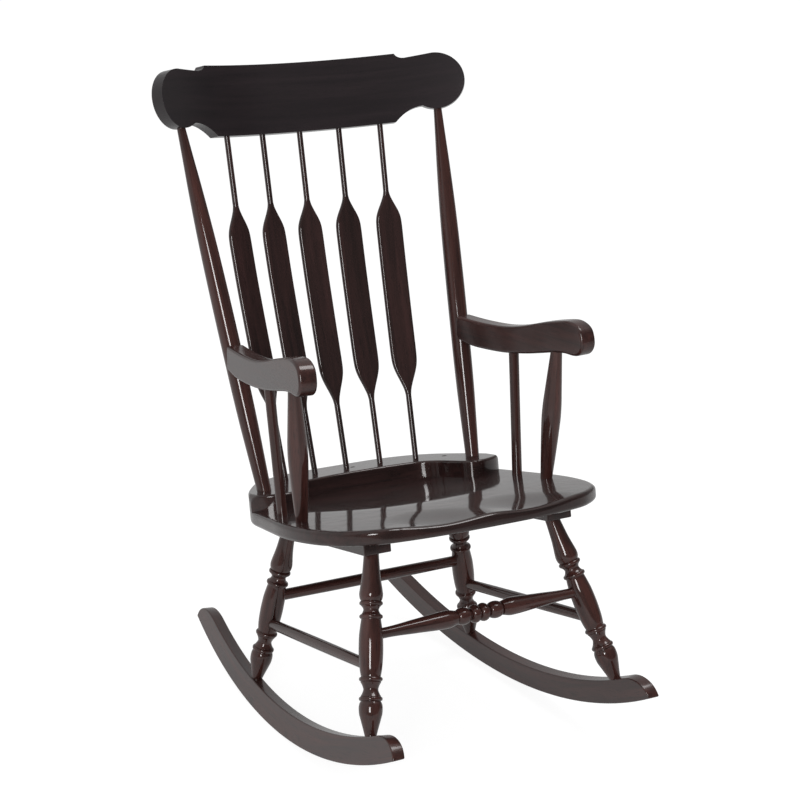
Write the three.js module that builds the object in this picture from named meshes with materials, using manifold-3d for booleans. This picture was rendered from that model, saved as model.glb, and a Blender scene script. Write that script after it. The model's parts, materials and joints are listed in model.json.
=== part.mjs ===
// Boston rocking chair: bent runners, turned legs, a saddled seat, arrow slats and a bent crest rail.
// Millimetres, z up. The chair faces -y and the floor is at z = 0.
import * as THREE from 'three';
import Module from 'manifold-3d';
import { mergeVertices } from 'three/addons/utils/BufferGeometryUtils.js';

const wasm = await Module();
wasm.setup();

const degrees = THREE.MathUtils.degToRad;

// Runners: places are measured back from the line where they touch the floor.
const runnerRadius = 927;
const runnerHeight = 43.6;
const runnerThickness = 22;
const runnerHalfSpacing = 239.2;
const runnerFrontReach = 437;
const runnerRearReach = 373;
const runnerNoseLength = 49;
const runnerNoseDrop = 39;
const runnerTailLength = 62;
const runnerTailDrop = 38;
const runnerLeanShare = 0.156;
const runnerFacetLength = 21;
const balanceFacets = 2;
const runnerToeInShare = 0.0577;

// Seat board, tilted back. Its height is that of the top over the line where the runners touch.
const seatHeight = 389.3;
const seatTilt = degrees(9.5);
const seatHalfWidth = 279.5;
const seatFrontReach = 321;
const seatRearReach = 226;
const seatThickness = 25;
const seatEdgeRadius = 5;
const seatOutlineShares = [
  [0, -1], [0.3, -0.992], [0.5, -0.972], [0.68, -0.935], [0.795, -0.875], [0.893, -0.79], [0.945, -0.7],
  [0.979, -0.6], [1, -0.45], [0.996, -0.3], [0.967, -0.125],
];
const seatRearOutlineShares = [
  [0.938, 0.045], [0.909, 0.25], [0.862, 0.4], [0.79, 0.56], [0.67, 0.77], [0.535, 0.9], [0.37, 0.975],
  [0.18, 0.998], [0, 1],
];

// Saddle: one wide dish and two thigh hollows, each cut by a flattened ball.
const dishDepth = 10;
const dishHalfWidth = 215;
const dishHalfLength = 225;
const dishCentre = -20;
const thighDepth = 7;
const thighHalfWidth = 70;
const thighHalfLength = 260;
const thighSpacing = 150;
const thighCentre = -300;
const hollowRiseShare = 4;

// Raised rail along the back of the seat, which holds the posts and slats.
const railHeight = 27.2;
const railCentreFront = 146;
const railWingFront = 57;
const railStraightHalfWidth = 120;
const railWingStart = 188;
const railEdgeRadius = 3;

// Cleats under the seat.
const cleatWidth = 50;
const cleatHeight = 23.8;
const cleatFrontOverhang = 24;
const cleatRearOverhang = 25;
const cleatEdgeRadius = 1.5;

// Legs: tops are places on the underside of the cleats, feet are places on top of the runners.
const legGreatestRadius = 20;
const legRingHalfLength = 3.4;
const legTurningShares = [
  [0, 0.48], [0.039, 0.625], [0.092, 0.84], [0.13, 0.955], [0.16, 0.965], [0.184, 0.865], [0.217, 0.86],
  [0.229, 0.715], [0.251, 0.615], [0.273, 0.7], [0.29, 0.85], [0.325, 0.815], [0.39, 0.94], [0.481, 1],
  [0.57, 0.93], [0.63, 0.82], [0.672, 0.69], [0.685, 0.64], [0.697, 0.72], [0.738, 0.87], [0.766, 0.97],
  [0.814, 0.885], [0.875, 0.755], [0.93, 0.685], [0.972, 0.64], [1, 0.62],
];
const legRingPlaceShares = [0.2005, 0.307, 0.647, 0.72];
const legRingNeckShare = 0.85;
const legRingCrownShare = 0.965;
const frontLegTopReach = 221.5;
const frontLegTopHalfSpacing = 177;
const rearLegTopReach = 86.5;
const rearLegTopHalfSpacing = 171;
const frontFootReach = 334.5;
const rearFootReach = 106.4;
const footInset = 1;
const legTenonIntoSeat = 12;
const legTenonIntoRunner = 12;

// Stretchers.
const frontStretcherLegShare = 0.4565;
const rearStretcherLegShare = 0.446;
const sideStretcherLegShare = 0.624;
const stretcherEndFromLegAxis = 6;
const sideStretcherEndRadius = 9.4;
const sideStretcherMiddleRadius = 9.9;
const rearStretcherEndRadius = 9.9;
const rearStretcherMiddleRadius = 10.4;
const frontStretcherEndRadius = 8.8;
const frontStretcherVaseRadius = 15.2;
const frontStretcherBallRadius = 14.7;
const frontStretcherRingRadius = 15.5;
const frontStretcherNeckRadius = 8.8;
const frontStretcherRingPitch = 17;
const frontStretcherBallPlace = 31.5;
const frontStretcherVasePlace = 62;
const frontStretcherVaseStart = 45;
const frontStretcherPlainEnd = 22;
const frontStretcherBallLengthShare = 0.85;
const frontStretcherVaseLipShare = 0.78;
const plainStretcherSwellShares = [[0, 0], [0.08, 0], [0.3, 0.72], [0.5, 1], [0.7, 0.72], [0.92, 0], [1, 0]];

// Crest rail: a board bent round an upright line in front of it and leaned back.
const crestHeight = 125.2;
const crestHalfWidth = 303.5;
const crestThickness = 22;
const crestBendRadius = 568;
const crestLean = degrees(15.2);
const crestFrontPlace = 335.5;
const crestBottomHeight = 982.6;
const crestPanelInset = 123;
const crestTopInset = 111.5;
const crestEarHalfWidth = 47.4;
const crestEarHalfHeight = 51.5;
const crestEarHeight = 67.5;
const crestEarStart = degrees(-90);
const crestEarEnd = degrees(97);
const crestShoulderDrop = 9.5;
const crestShoulderRunShare = 1.8;
const crestCoveHeight = 24.5;
const crestCoveInset = 73;
const crestPanelHalfWidth = crestHalfWidth - crestPanelInset;
const crestTopHalfWidth = crestHalfWidth - crestTopInset;
const crestCoveHalfWidth = crestHalfWidth - crestCoveInset;

// Back posts.
const postGreatestRadius = 17;
const postHalfSpacing = 213.2;
const postSeatPlace = 83.4;
const postCrestInset = 43.7;
const postRadiusShares = [
  [0, 0.73], [0.12, 0.87], [0.2, 0.955], [0.3, 0.995], [0.45, 1], [0.6, 0.965], [0.7, 0.9], [0.84, 0.72],
  [0.92, 0.575], [1, 0.44],
];
const postTenonIntoSeat = 12;
const postTenonIntoCrest = 22;

// Arrow slats.
const slatCount = 5;
const slatPitchAtRail = 67.4;
const slatPanelEndGap = 24.5;
const slatPitchAtCrest = 2 * (crestPanelHalfWidth - slatPanelEndGap) / (slatCount - 1);
const slatRodRadius = 5.2;
const slatPaddleWidth = 49;
const slatPaddleThickness = 10.5;
const slatLowerRodLength = 122;
const slatLowerArrowLength = 57;
const slatPaddleLength = 264;
const slatUpperArrowLength = 47;
const slatBow = 12;
const slatBowShares = [
  [0, 0], [0.13, 0.12], [0.19, 0.2], [0.25, 0.38], [0.375, 0.7], [0.5, 0.9], [0.6, 1], [0.69, 0.98],
  [0.81, 0.62], [0.94, 0.2], [1, 0],
];
const slatRailCentrePlace = 175.4;
const slatRailOuterAdvance = 20;
const slatTenonIntoRail = 16;
const slatTenonIntoCrest = 18;

// Arms: sawn boards with a rolled front end and a hollow rear end round the post.
const armLength = 349.5;
const armWidth = 32;
const armProfileHeight = 94.7;
const armUndersideHeight = 604;
const armRearBeforePostAxis = 9;
const armEdgeRadius = 5;
const armSplay = degrees(6.4);
const armTopShares = [
  [1, 0.5], [0.825, 0.505], [0.659, 0.543], [0.542, 0.607], [0.44, 0.699], [0.337, 0.815], [0.221, 0.927],
  [0.118, 0.998], [0.057, 0.966], [0.018, 0.864],
];
const armUndersideShares = [
  [0, 0.662], [0.008, 0.514], [0.034, 0.414], [0.075, 0.378], [0.142, 0.378], [0.221, 0.335], [0.335, 0.237],
  [0.451, 0.145], [0.615, 0.048], [0.79, 0], [0.893, 0], [1, 0.058],
];

// Arm supports.
const armPostGreatestRadius = 17;
const armPostSeatHalfSpacing = 243.3;
const armPostSeatReach = 112.4;
const armPostPlaceFromArmFront = 79;
const armPostRadiusShares = [
  [0, 0.61], [0.125, 0.73], [0.25, 0.84], [0.375, 0.935], [0.5, 1], [0.58, 0.98], [0.6875, 0.89],
  [0.8125, 0.775], [0.9375, 0.655], [1, 0.6],
];
const armSpindleRadius = 9;
const armSpindleRadiusShares = [[0, 1], [0.5, 0.98], [1, 1]];
const armSpindleSeatHalfSpacing = 236.6;
const armSpindleSeatPlace = -27.8;
const armSpindlePlaceFromArmFront = 194.5;
const armSupportTenon = 14;
const armSupportInset = 5;

// Fixings.
const screwShankRadius = 2.2;
const screwHeadRadius = 4.2;
const screwHeadHeight = 2.6;
const screwTipLength = 4;
const screwTipRadius = 0.5;
const railScrewLength = 32;
const railScrewSink = 3;
const railScrewSideOffset = 181;
const railScrewSidePlace = 129.5;
const railScrewCentreOffset = 12;
const railScrewCentrePlace = 174;
const cleatScrewLength = 34;
const cleatScrewSink = 1;
const cleatScrewFromLeg = 60;
const runnerScrewLength = 44;
const runnerScrewSink = 14;
const runnerScrewAimIntoLeg = 20;
const armScrewLength = 52;
const armScrewSink = 1.5;
const armScrewAboveUnderside = 27.3;
const armScrewHeight = armUndersideHeight + armScrewAboveUnderside;

// Working values.
const fitClearance = 0.3;
const nearlyNothing = 1e-6;
const cutOverrun = 6;
const roundSides = 10;
const smallRoundSides = 6;
const slatSides = 12;
const outlineSteps = 24;
const arcSteps = 16;
const cornerSteps = 4;
const ringSteps = 2;
const beadSteps = 4;
const ballSides = 18;
const up = new THREE.Vector3(0, 0, 1);
const sideNames = new Map([[-1, 'left'], [1, 'right']]);
const bothSides = [...sideNames.keys()];

function paint(color, roughness, metalness) {
  return new THREE.MeshStandardMaterial({ color, roughness, metalness });
}

const darkWood = () => paint(0x2a1512, 0.3, 0);
const darkestWood = () => paint(0x190d0c, 0.28, 0);
const steel = () => paint(0x6f6a66, 0.45, 0.9);

const chair = new THREE.Group();
chair.name = 'boston_rocking_chair';

function addMesh(parent, name, geometry, material) {
  const mesh = new THREE.Mesh(geometry, material);
  mesh.name = name;
  parent.add(mesh);
  return mesh;
}

// Booleans on closed meshes.
function toSolid(geometry) {
  const bare = geometry.clone();
  bare.deleteAttribute('normal');
  bare.deleteAttribute('uv');
  const merged = mergeVertices(bare);
  const vertProperties = new Float32Array(merged.attributes.position.array);
  const triVerts = new Uint32Array(merged.index.array);
  return new wasm.Manifold(new wasm.Mesh({ numProp: 3, vertProperties, triVerts }));
}

function toGeometry(solid) {
  const { vertProperties, triVerts } = solid.getMesh();
  const geometry = new THREE.BufferGeometry();
  geometry.setAttribute('position', new THREE.BufferAttribute(vertProperties, 3));
  geometry.setIndex(new THREE.BufferAttribute(triVerts, 1));
  geometry.computeVertexNormals();
  return geometry;
}

// Cuts the cutters, wherever they stand in the chair, out of a mesh in its own frame.
function carve(mesh, cutters) {
  mesh.updateWorldMatrix(true, false);
  const intoMesh = mesh.matrixWorld.clone().invert();
  let solid = toSolid(mesh.geometry);
  for (const cutter of cutters) {
    cutter.updateWorldMatrix(true, false);
    const placed = cutter.geometry.clone().applyMatrix4(cutter.matrixWorld).applyMatrix4(intoMesh);
    solid = solid.subtract(toSolid(placed));
  }
  mesh.geometry = toGeometry(solid);
  return mesh;
}

// A turned solid along +z from a list of [height, radius].
function turned(profile, sides, grow = 0) {
  const first = profile[0];
  const last = profile[profile.length - 1];
  const points = [new THREE.Vector2(0, first[0])];
  for (const [height, radius] of profile) {
    points.push(new THREE.Vector2(radius + grow, height));
  }
  points.push(new THREE.Vector2(0, last[0]));
  return new THREE.LatheGeometry(points, sides).rotateX(Math.PI / 2);
}

// Stands an object's z axis on a point, aimed at another.
function aim(object, from, to) {
  const direction = to.clone().sub(from).normalize();
  object.position.copy(from);
  object.quaternion.setFromUnitVectors(up, direction);
  return object;
}

// The cutter for the sockets of a turned piece: the piece itself, grown all round by the clearance.
function socketCutter(profile, from, to) {
  const [low, lowRadius] = profile[0];
  const [high, highRadius] = profile[profile.length - 1];
  const longer = [[low - fitClearance, lowRadius], ...profile, [high + fitClearance, highRadius]];
  return () => aim(new THREE.Mesh(turned(longer, roundSides, fitClearance)), from, to);
}

// A round cutter from one point to another.
function bore(from, to, radius) {
  const length = from.distanceTo(to);
  const geometry = turned([[0, radius + fitClearance], [length, radius + fitClearance]], slatSides);
  return aim(new THREE.Mesh(geometry), from, to);
}

function alongLine(from, to, distance) {
  const direction = to.clone().sub(from).normalize();
  return from.clone().addScaledVector(direction, distance);
}

// Points of a swelling turned length, from shares of its length and of its greatest radius.
function sharedProfile(shares, length, radius) {
  return shares.map(([place, size]) => [place * length, size * radius]);
}

// A rounded bead on a turned piece: half an ellipse standing on a neck.
function bead(centre, halfLength, neckRadius, crownRadius, steps) {
  const points = [];
  for (let step = 0; step <= steps; step += 1) {
    const angle = Math.PI * step / steps;
    const swell = (crownRadius - neckRadius) * Math.sin(angle);
    points.push([centre - halfLength * Math.cos(angle), neckRadius + swell]);
  }
  return points;
}

function mirroredShape(halfPoints) {
  const otherHalf = halfPoints.filter((point) => point.x > fitClearance).reverse();
  const mirrored = otherHalf.map((point) => new THREE.Vector2(-point.x, point.y));
  return new THREE.Shape([...halfPoints, ...mirrored]);
}

function splinePoints(points, steps) {
  return new THREE.SplineCurve(points).getSpacedPoints(steps);
}

// A board cut to an outline, with rounded or eased edges, whose thickness runs from z = 0 up.
function board(shape, thickness, edge) {
  const geometry = new THREE.ExtrudeGeometry(shape, {
    depth: thickness - 2 * edge,
    bevelEnabled: edge > 0,
    bevelThickness: edge,
    bevelSize: edge,
    bevelOffset: -edge,
    bevelSegments: 1,
    curveSegments: arcSteps,
    steps: 1,
  });
  return geometry.translate(0, 0, edge);
}

// Turns a board whose outline is drawn as (back, up) so that its thickness runs along x, centred on 0.
function sideways(geometry, thickness) {
  const back = new THREE.Vector3(0, 1, 0);
  const right = new THREE.Vector3(1, 0, 0);
  geometry.translate(0, 0, -thickness / 2);
  return geometry.applyMatrix4(new THREE.Matrix4().makeBasis(back, up, right));
}

// Runner profile in (back, up), with the bend's centre straight above the floor line.
const runnerBendCentre = runnerRadius * Math.cos(runnerFacetLength / runnerRadius / 2);

function runnerPoint(depth, angle) {
  const radius = runnerRadius - depth;
  return new THREE.Vector2(radius * Math.sin(angle), runnerBendCentre - radius * Math.cos(angle));
}

function runnerAngles() {
  const front = -Math.asin(runnerFrontReach / runnerRadius);
  const rear = Math.asin(runnerRearReach / runnerRadius);
  const facet = runnerFacetLength / runnerRadius;
  const angles = [front];
  for (let step = Math.ceil(front / facet); (step + 0.5) * facet < rear - facet / 2; step += 1) {
    if ((step + 0.5) * facet > front + facet / 2) {
      angles.push((step + 0.5) * facet);
    }
  }
  angles.push(rear);
  return angles;
}

function runnerOutline() {
  const angles = runnerAngles();
  const front = angles[0];
  const rear = angles[angles.length - 1];
  const points = angles.map((angle) => runnerPoint(0, angle));
  for (let step = 0; step <= cornerSteps; step += 1) {
    const turn = Math.PI / 2 * step / cornerSteps;
    const depth = runnerHeight - runnerTailDrop * (1 - Math.sin(turn));
    const inward = runnerTailLength * (1 - Math.cos(turn));
    points.push(runnerPoint(depth, rear - inward / (runnerRadius - depth)));
  }
  const topFront = front + runnerNoseLength / (runnerRadius - runnerHeight);
  const topRear = rear - runnerTailLength / (runnerRadius - runnerHeight);
  for (const angle of angles.filter((value) => value > topFront && value < topRear).reverse()) {
    points.push(runnerPoint(runnerHeight, angle));
  }
  for (let step = cornerSteps; step >= 0; step -= 1) {
    const turn = Math.PI / 2 * step / cornerSteps;
    const depth = runnerHeight - runnerNoseDrop * (1 - Math.sin(turn));
    const inward = runnerNoseLength * (1 - Math.cos(turn));
    points.push(runnerPoint(depth, front + inward / (runnerRadius - depth)));
  }
  return new THREE.Shape(points);
}

// A runner leans in towards its top edge and runs in towards the rear. Its sole is planed level across,
// and its top stays square to its sides.
function leanInwards(geometry, side) {
  const place = geometry.attributes.position;
  for (let index = 0; index < place.count; index += 1) {
    const [x, y, z] = [place.getX(index), place.getY(index), place.getZ(index)];
    const rise = (runnerRadius - Math.hypot(y, runnerBendCentre - z)) / runnerHeight;
    place.setX(index, x - side * (runnerLeanShare * z + runnerToeInShare * y));
    place.setZ(index, z + side * runnerLeanShare * x * rise);
  }
  return geometry;
}

function makeRunner(side) {
  const blank = sideways(board(runnerOutline(), runnerThickness, 0), runnerThickness);
  const geometry = leanInwards(blank, side);
  const runner = addMesh(chair, `runner_${sideNames.get(side)}`, geometry, darkWood());
  runner.position.set(side * runnerHalfSpacing, 0, 0);
  runner.updateWorldMatrix(true, false);
  return runner;
}

// A place on a runner, by its angle round the bend and its depth from the underside.
function placeOnRunner(runner, angle, depth, inward = 0) {
  const point = runnerPoint(depth, angle);
  const side = Math.sign(runner.position.x);
  const across = -side * (inward + runnerLeanShare * point.y + runnerToeInShare * point.x);
  return runner.localToWorld(new THREE.Vector3(across, point.x, point.y));
}

const runners = new Map(bothSides.map((side) => [side, makeRunner(side)]));

// Everything that stands square to the seat hangs in this tilted frame, whose z = 0 is the seat's top.
const seatFrame = new THREE.Group();
seatFrame.position.z = seatHeight;
seatFrame.rotation.x = -seatTilt;
chair.add(seatFrame);
seatFrame.updateWorldMatrix(true, false);

function onSeat(x, back, lift = 0) {
  return seatFrame.localToWorld(new THREE.Vector3(x, back, lift));
}

function seatHalfOutline() {
  const spread = (shares, reach) => shares.map(([x, y]) => new THREE.Vector2(x * seatHalfWidth, y * reach));
  const front = spread(seatOutlineShares, seatFrontReach);
  const rear = spread(seatRearOutlineShares, seatRearReach);
  return splinePoints([...front, ...rear], outlineSteps);
}

function makeSeat() {
  const geometry = board(mirroredShape(seatHalfOutline()), seatThickness, seatEdgeRadius);
  return addMesh(seatFrame, 'seat', geometry.translate(0, 0, -seatThickness), darkWood());
}

// A flattened ball that cuts a hollow of the given depth into the seat's top.
function hollow(x, back, halfWidth, halfLength, depth) {
  const fullDepth = depth * (1 + hollowRiseShare);
  const spread = 1 / Math.sqrt(1 - (hollowRiseShare / (1 + hollowRiseShare)) ** 2);
  const geometry = new THREE.SphereGeometry(1, ballSides, ballSides);
  geometry.scale(halfWidth * spread, halfLength * spread, fullDepth);
  return geometry.translate(x, back, depth * hollowRiseShare);
}

// The saddle stops at the rail, whose footprint stays flat.
function saddleCutters() {
  const footprint = board(mirroredShape(railHalfOutline()), dishDepth * 2, 0).translate(0, 0, -dishDepth);
  const dish = toSolid(hollow(0, dishCentre, dishHalfWidth, dishHalfLength, dishDepth));
  const hollows = [toGeometry(dish.subtract(toSolid(footprint)))];
  for (const side of bothSides) {
    const x = side * thighSpacing / 2;
    hollows.push(hollow(x, thighCentre, thighHalfWidth, thighHalfLength, thighDepth));
  }
  return hollows.map((geometry) => {
    const cutter = new THREE.Mesh(geometry);
    cutter.applyMatrix4(seatFrame.matrixWorld);
    return cutter;
  });
}

function railHalfOutline() {
  const outline = seatHalfOutline();
  const first = outline.findIndex((point) => point.y > railWingFront);
  const outer = outline.slice(first);
  const gap = outline[first].y - outline[first - 1].y;
  const tip = outline[first].clone().lerp(outline[first - 1], (outline[first].y - railWingFront) / gap);
  const path = new THREE.Path();
  path.moveTo(0, railCentreFront);
  path.lineTo(railStraightHalfWidth, railCentreFront);
  const bend = (railWingStart - railStraightHalfWidth) / 2;
  path.bezierCurveTo(
    railStraightHalfWidth + bend, railCentreFront,
    railWingStart - bend, railWingFront,
    railWingStart, railWingFront,
  );
  const inner = path.getPoints(smallRoundSides);
  return [...inner, tip, ...outer];
}

function makeRail() {
  const geometry = board(mirroredShape(railHalfOutline()), railHeight, railEdgeRadius);
  return addMesh(seatFrame, 'back_rail', geometry.translate(0, 0, fitClearance), darkWood());
}

function makeCleat(side) {
  const run = frontLegTopReach + rearLegTopReach;
  const slant = Math.atan2(frontLegTopHalfSpacing - rearLegTopHalfSpacing, run);
  const outline = new THREE.Shape([
    new THREE.Vector2(-cleatWidth / 2, -cleatFrontOverhang),
    new THREE.Vector2(cleatWidth / 2, -cleatFrontOverhang),
    new THREE.Vector2(cleatWidth / 2, run + cleatRearOverhang),
    new THREE.Vector2(-cleatWidth / 2, run + cleatRearOverhang),
  ]);
  const geometry = board(outline, cleatHeight, cleatEdgeRadius);
  const cleat = addMesh(seatFrame, `cleat_${sideNames.get(side)}`, geometry, darkWood());
  const underside = -seatThickness - fitClearance - cleatHeight;
  cleat.position.set(side * frontLegTopHalfSpacing, -frontLegTopReach, underside);
  cleat.rotation.z = side * slant;
  cleat.updateWorldMatrix(true, false);
  return cleat;
}

// Legs. The turning is the same on all four, in shares of the length from the foot up.
function legProfile(length) {
  const body = sharedProfile(legTurningShares, length, legGreatestRadius);
  const neck = legRingNeckShare * legGreatestRadius;
  const crown = legRingCrownShare * legGreatestRadius;
  const rings = legRingPlaceShares.flatMap((share) => bead(
    share * length, legRingHalfLength, neck, crown, ringSteps,
  ));
  return [...body, ...rings].sort((one, other) => one[0] - other[0]);
}

// The two ends of a leg's axis: where it meets the runner and where it meets the cleat.
function legEnds(front, side) {
  const angle = Math.asin((front ? -frontFootReach : rearFootReach) / (runnerRadius - runnerHeight));
  const topX = side * (front ? frontLegTopHalfSpacing : rearLegTopHalfSpacing);
  const topBack = front ? -frontLegTopReach : rearLegTopReach;
  const runner = runners.get(side);
  const foot = placeOnRunner(runner, angle, runnerHeight, footInset);
  const top = onSeat(topX, topBack, -seatThickness - fitClearance - cleatHeight);
  const underside = placeOnRunner(runner, angle, 0);
  return { foot, top, underside, runner, side };
}

function makeLeg(front, side) {
  const ends = legEnds(front, side);
  const length = ends.foot.distanceTo(ends.top);
  const slope = ends.top.clone().sub(ends.foot).normalize();
  const lean = slope.angleTo(onSeat(0, 0, 1).sub(onSeat(0, 0)));
  const upperTenon = (cleatHeight + fitClearance + legTenonIntoSeat) / Math.cos(lean);
  const profile = legProfile(length);
  const footRadius = profile[0][1];
  const topRadius = profile[profile.length - 1][1];
  const whole = [[-legTenonIntoRunner, footRadius], ...profile, [length + upperTenon, topRadius]];
  const name = `leg_${front ? 'front' : 'rear'}_${sideNames.get(side)}`;
  const mesh = aim(addMesh(chair, name, turned(whole, roundSides), darkWood()), ends.foot, ends.top);
  return {
    ...ends,
    mesh,
    length,
    sockets: [],
    cutter: socketCutter(whole, ends.foot, ends.top),
    at: (share) => ends.foot.clone().lerp(ends.top, share),
  };
}

// A stretcher between two legs, whose round ends sit in sockets in them.
function makeStretcher(name, one, other, legShare, profileOf) {
  const from = one.at(1 - legShare);
  const to = other.at(1 - legShare);
  const start = alongLine(from, to, stretcherEndFromLegAxis);
  const end = alongLine(to, from, stretcherEndFromLegAxis);
  const profile = profileOf(start.distanceTo(end));
  const mesh = aim(addMesh(chair, name, turned(profile, roundSides), darkWood()), start, end);
  const cutter = socketCutter(profile, start, end);
  one.sockets.push(cutter);
  other.sockets.push(cutter);
  return mesh;
}

function plainStretcher(endRadius, middleRadius) {
  return (length) => plainStretcherSwellShares.map(([place, swell]) => [
    place * length, endRadius + swell * (middleRadius - endRadius),
  ]);
}

// Half of the turned front stretcher, from its middle out, as [distance, radius].
function frontStretcherHalf(length) {
  const ringHalf = frontStretcherRingPitch / 2;
  const ballHalf = frontStretcherBallRadius * frontStretcherBallLengthShare;
  const vaseEnd = length / 2 - frontStretcherPlainEnd;
  return [
    ...bead(ringHalf, ringHalf, frontStretcherNeckRadius, frontStretcherRingRadius, beadSteps),
    ...bead(
      frontStretcherBallPlace, ballHalf, frontStretcherNeckRadius, frontStretcherBallRadius, beadSteps,
    ),
    [frontStretcherVaseStart, frontStretcherVaseRadius * frontStretcherVaseLipShare],
    [frontStretcherVasePlace, frontStretcherVaseRadius],
    [(frontStretcherVasePlace + vaseEnd) / 2, (frontStretcherVaseRadius + frontStretcherEndRadius) / 2],
    [vaseEnd, frontStretcherEndRadius],
    [length / 2, frontStretcherEndRadius],
  ];
}

function frontStretcherProfile(length) {
  const half = frontStretcherHalf(length);
  const lower = half.slice(1).reverse().map(([place, radius]) => [length / 2 - place, radius]);
  const upper = half.map(([place, radius]) => [length / 2 + place, radius]);
  return [...lower, ...upper];
}

// Back posts stand in the rail and the seat and run up into the crest rail.
const crestFrame = new THREE.Group();
crestFrame.position.set(0, crestFrontPlace, crestBottomHeight);
crestFrame.rotation.x = -crestLean;
chair.add(crestFrame);
crestFrame.updateWorldMatrix(true, false);

const crestMiddleRadius = crestBendRadius + crestThickness / 2;

// A place inside the crest rail's thickness, at a height over its lower edge.
function inCrest(x, height) {
  const back = Math.sqrt(crestMiddleRadius ** 2 - x ** 2) - crestBendRadius;
  return crestFrame.localToWorld(new THREE.Vector3(x, back, height));
}

function crestHalfOutline() {
  const earX = crestHalfWidth - crestEarHalfWidth;
  const earBottom = crestEarHeight - crestEarHalfHeight;
  const shoulderTop = crestHeight - crestShoulderDrop;
  const ear = new THREE.EllipseCurve(
    earX, crestEarHeight, crestEarHalfWidth, crestEarHalfHeight, crestEarStart, crestEarEnd,
  );
  const path = new THREE.Path();
  path.moveTo(0, 0);
  path.lineTo(crestPanelHalfWidth, 0);
  path.quadraticCurveTo(
    crestPanelHalfWidth + crestCoveHeight, crestCoveHeight, crestCoveHalfWidth, crestCoveHeight,
  );
  path.quadraticCurveTo((crestCoveHalfWidth + earX) / 2, earBottom, earX, earBottom);
  const lower = path.getPoints(smallRoundSides);
  const upper = new THREE.Path();
  const shoulderMiddle = crestTopHalfWidth + crestShoulderDrop / 2;
  upper.moveTo(crestTopHalfWidth + crestShoulderDrop * crestShoulderRunShare, shoulderTop);
  upper.quadraticCurveTo(shoulderMiddle, shoulderTop, crestTopHalfWidth, crestHeight);
  upper.lineTo(0, crestHeight);
  return [...lower, ...ear.getPoints(arcSteps).slice(1), ...upper.getPoints(cornerSteps)];
}

// A block with the board's outline, whose sides all run towards the line that the board is bent round, so
// that its edges come out square to its faces.
function crestOutlineBlock() {
  const depth = crestBendRadius / 2;
  const opened = crestHalfOutline().map(({ x, y }) => (
    new THREE.Vector2(x / Math.sqrt(1 - (x / crestBendRadius) ** 2), y)
  ));
  const block = new THREE.ExtrudeGeometry(mirroredShape(opened), { depth, bevelEnabled: false, steps: 1 });
  block.translate(0, 0, -depth / 2).rotateX(Math.PI / 2);
  const place = block.attributes.position;
  for (let index = 0; index < place.count; index += 1) {
    place.setX(index, place.getX(index) * (1 + place.getY(index) / crestBendRadius));
  }
  return block;
}

function makeCrest() {
  const bendAngle = Math.asin((crestHalfWidth + cutOverrun) / crestBendRadius);
  const start = Math.PI / 2 - bendAngle;
  const end = Math.PI / 2 + bendAngle;
  const band = new THREE.Shape();
  band.absarc(0, -crestBendRadius, crestBendRadius + crestThickness, start, end, false);
  band.absarc(0, -crestBendRadius, crestBendRadius, end, start, true);
  const bentBand = new THREE.ExtrudeGeometry(band, {
    depth: crestHeight + 2 * cutOverrun, bevelEnabled: false, curveSegments: arcSteps, steps: 1,
  }).translate(0, 0, -cutOverrun);
  const crest = toSolid(bentBand).intersect(toSolid(crestOutlineBlock()));
  return addMesh(crestFrame, 'crest_rail', toGeometry(crest), darkestWood());
}

function makePost(side) {
  const foot = onSeat(side * postHalfSpacing, postSeatPlace, railHeight + fitClearance);
  const top = inCrest(side * (crestHalfWidth - postCrestInset), crestEarHeight - crestEarHalfHeight);
  const length = foot.distanceTo(top);
  const profile = sharedProfile(postRadiusShares, length, postGreatestRadius);
  const footRadius = profile[0][1];
  const topRadius = profile[profile.length - 1][1];
  const footTenon = railHeight + fitClearance + postTenonIntoSeat;
  const whole = [[-footTenon, footRadius], ...profile, [length + postTenonIntoCrest, topRadius]];
  const name = `back_post_${sideNames.get(side)}`;
  const mesh = aim(addMesh(chair, name, turned(whole, roundSides), darkWood()), foot, top);
  return { mesh, foot, top, side, cutter: socketCutter(whole, foot, top) };
}

// A slat is turned to the arrow outline, then flattened to a round-edged paddle and bowed back.
function slatGeometry(length) {
  const lowArrow = slatLowerRodLength + slatLowerArrowLength;
  const paddleTop = lowArrow + slatPaddleLength;
  const highNeck = paddleTop + slatUpperArrowLength;
  const halfPaddle = slatPaddleWidth / 2;
  const profile = [[-slatTenonIntoRail, slatRodRadius]];
  const rodSteps = 3;
  for (let step = 0; step <= rodSteps; step += 1) {
    profile.push([slatLowerRodLength * step / rodSteps, slatRodRadius]);
  }
  const paddleSteps = 5;
  for (let step = 0; step <= paddleSteps; step += 1) {
    profile.push([lowArrow + slatPaddleLength * step / paddleSteps, halfPaddle]);
  }
  for (let step = 0; step <= rodSteps; step += 1) {
    profile.push([highNeck + (length - highNeck) * step / rodSteps, slatRodRadius]);
  }
  profile.push([length + slatTenonIntoCrest, slatRodRadius]);
  const geometry = turned(profile, slatSides);
  const place = geometry.attributes.position;
  for (let index = 0; index < place.count; index += 1) {
    const z = place.getZ(index);
    const width = widthAt(profile, z);
    const round = Math.min(width, slatPaddleThickness / 2);
    const x = place.getX(index) / width * round;
    const y = place.getY(index) / width * round;
    const aside = Math.abs(x) > nearlyNothing ? Math.sign(x) * (width - round) : 0;
    const bow = slatBow * widthAt(slatBowShares, THREE.MathUtils.clamp(z / length, 0, 1));
    place.setXYZ(index, x + aside, y + bow, z);
  }
  return geometry;
}

function widthAt(profile, height) {
  const after = profile.findIndex(([place]) => place >= height);
  if (after <= 0) {
    return profile[Math.max(after, 0)][1];
  }
  const [lowPlace, lowSize] = profile[after - 1];
  const [highPlace, highSize] = profile[after];
  const share = (height - lowPlace) / (highPlace - lowPlace);
  return lowSize + share * (highSize - lowSize);
}

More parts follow.
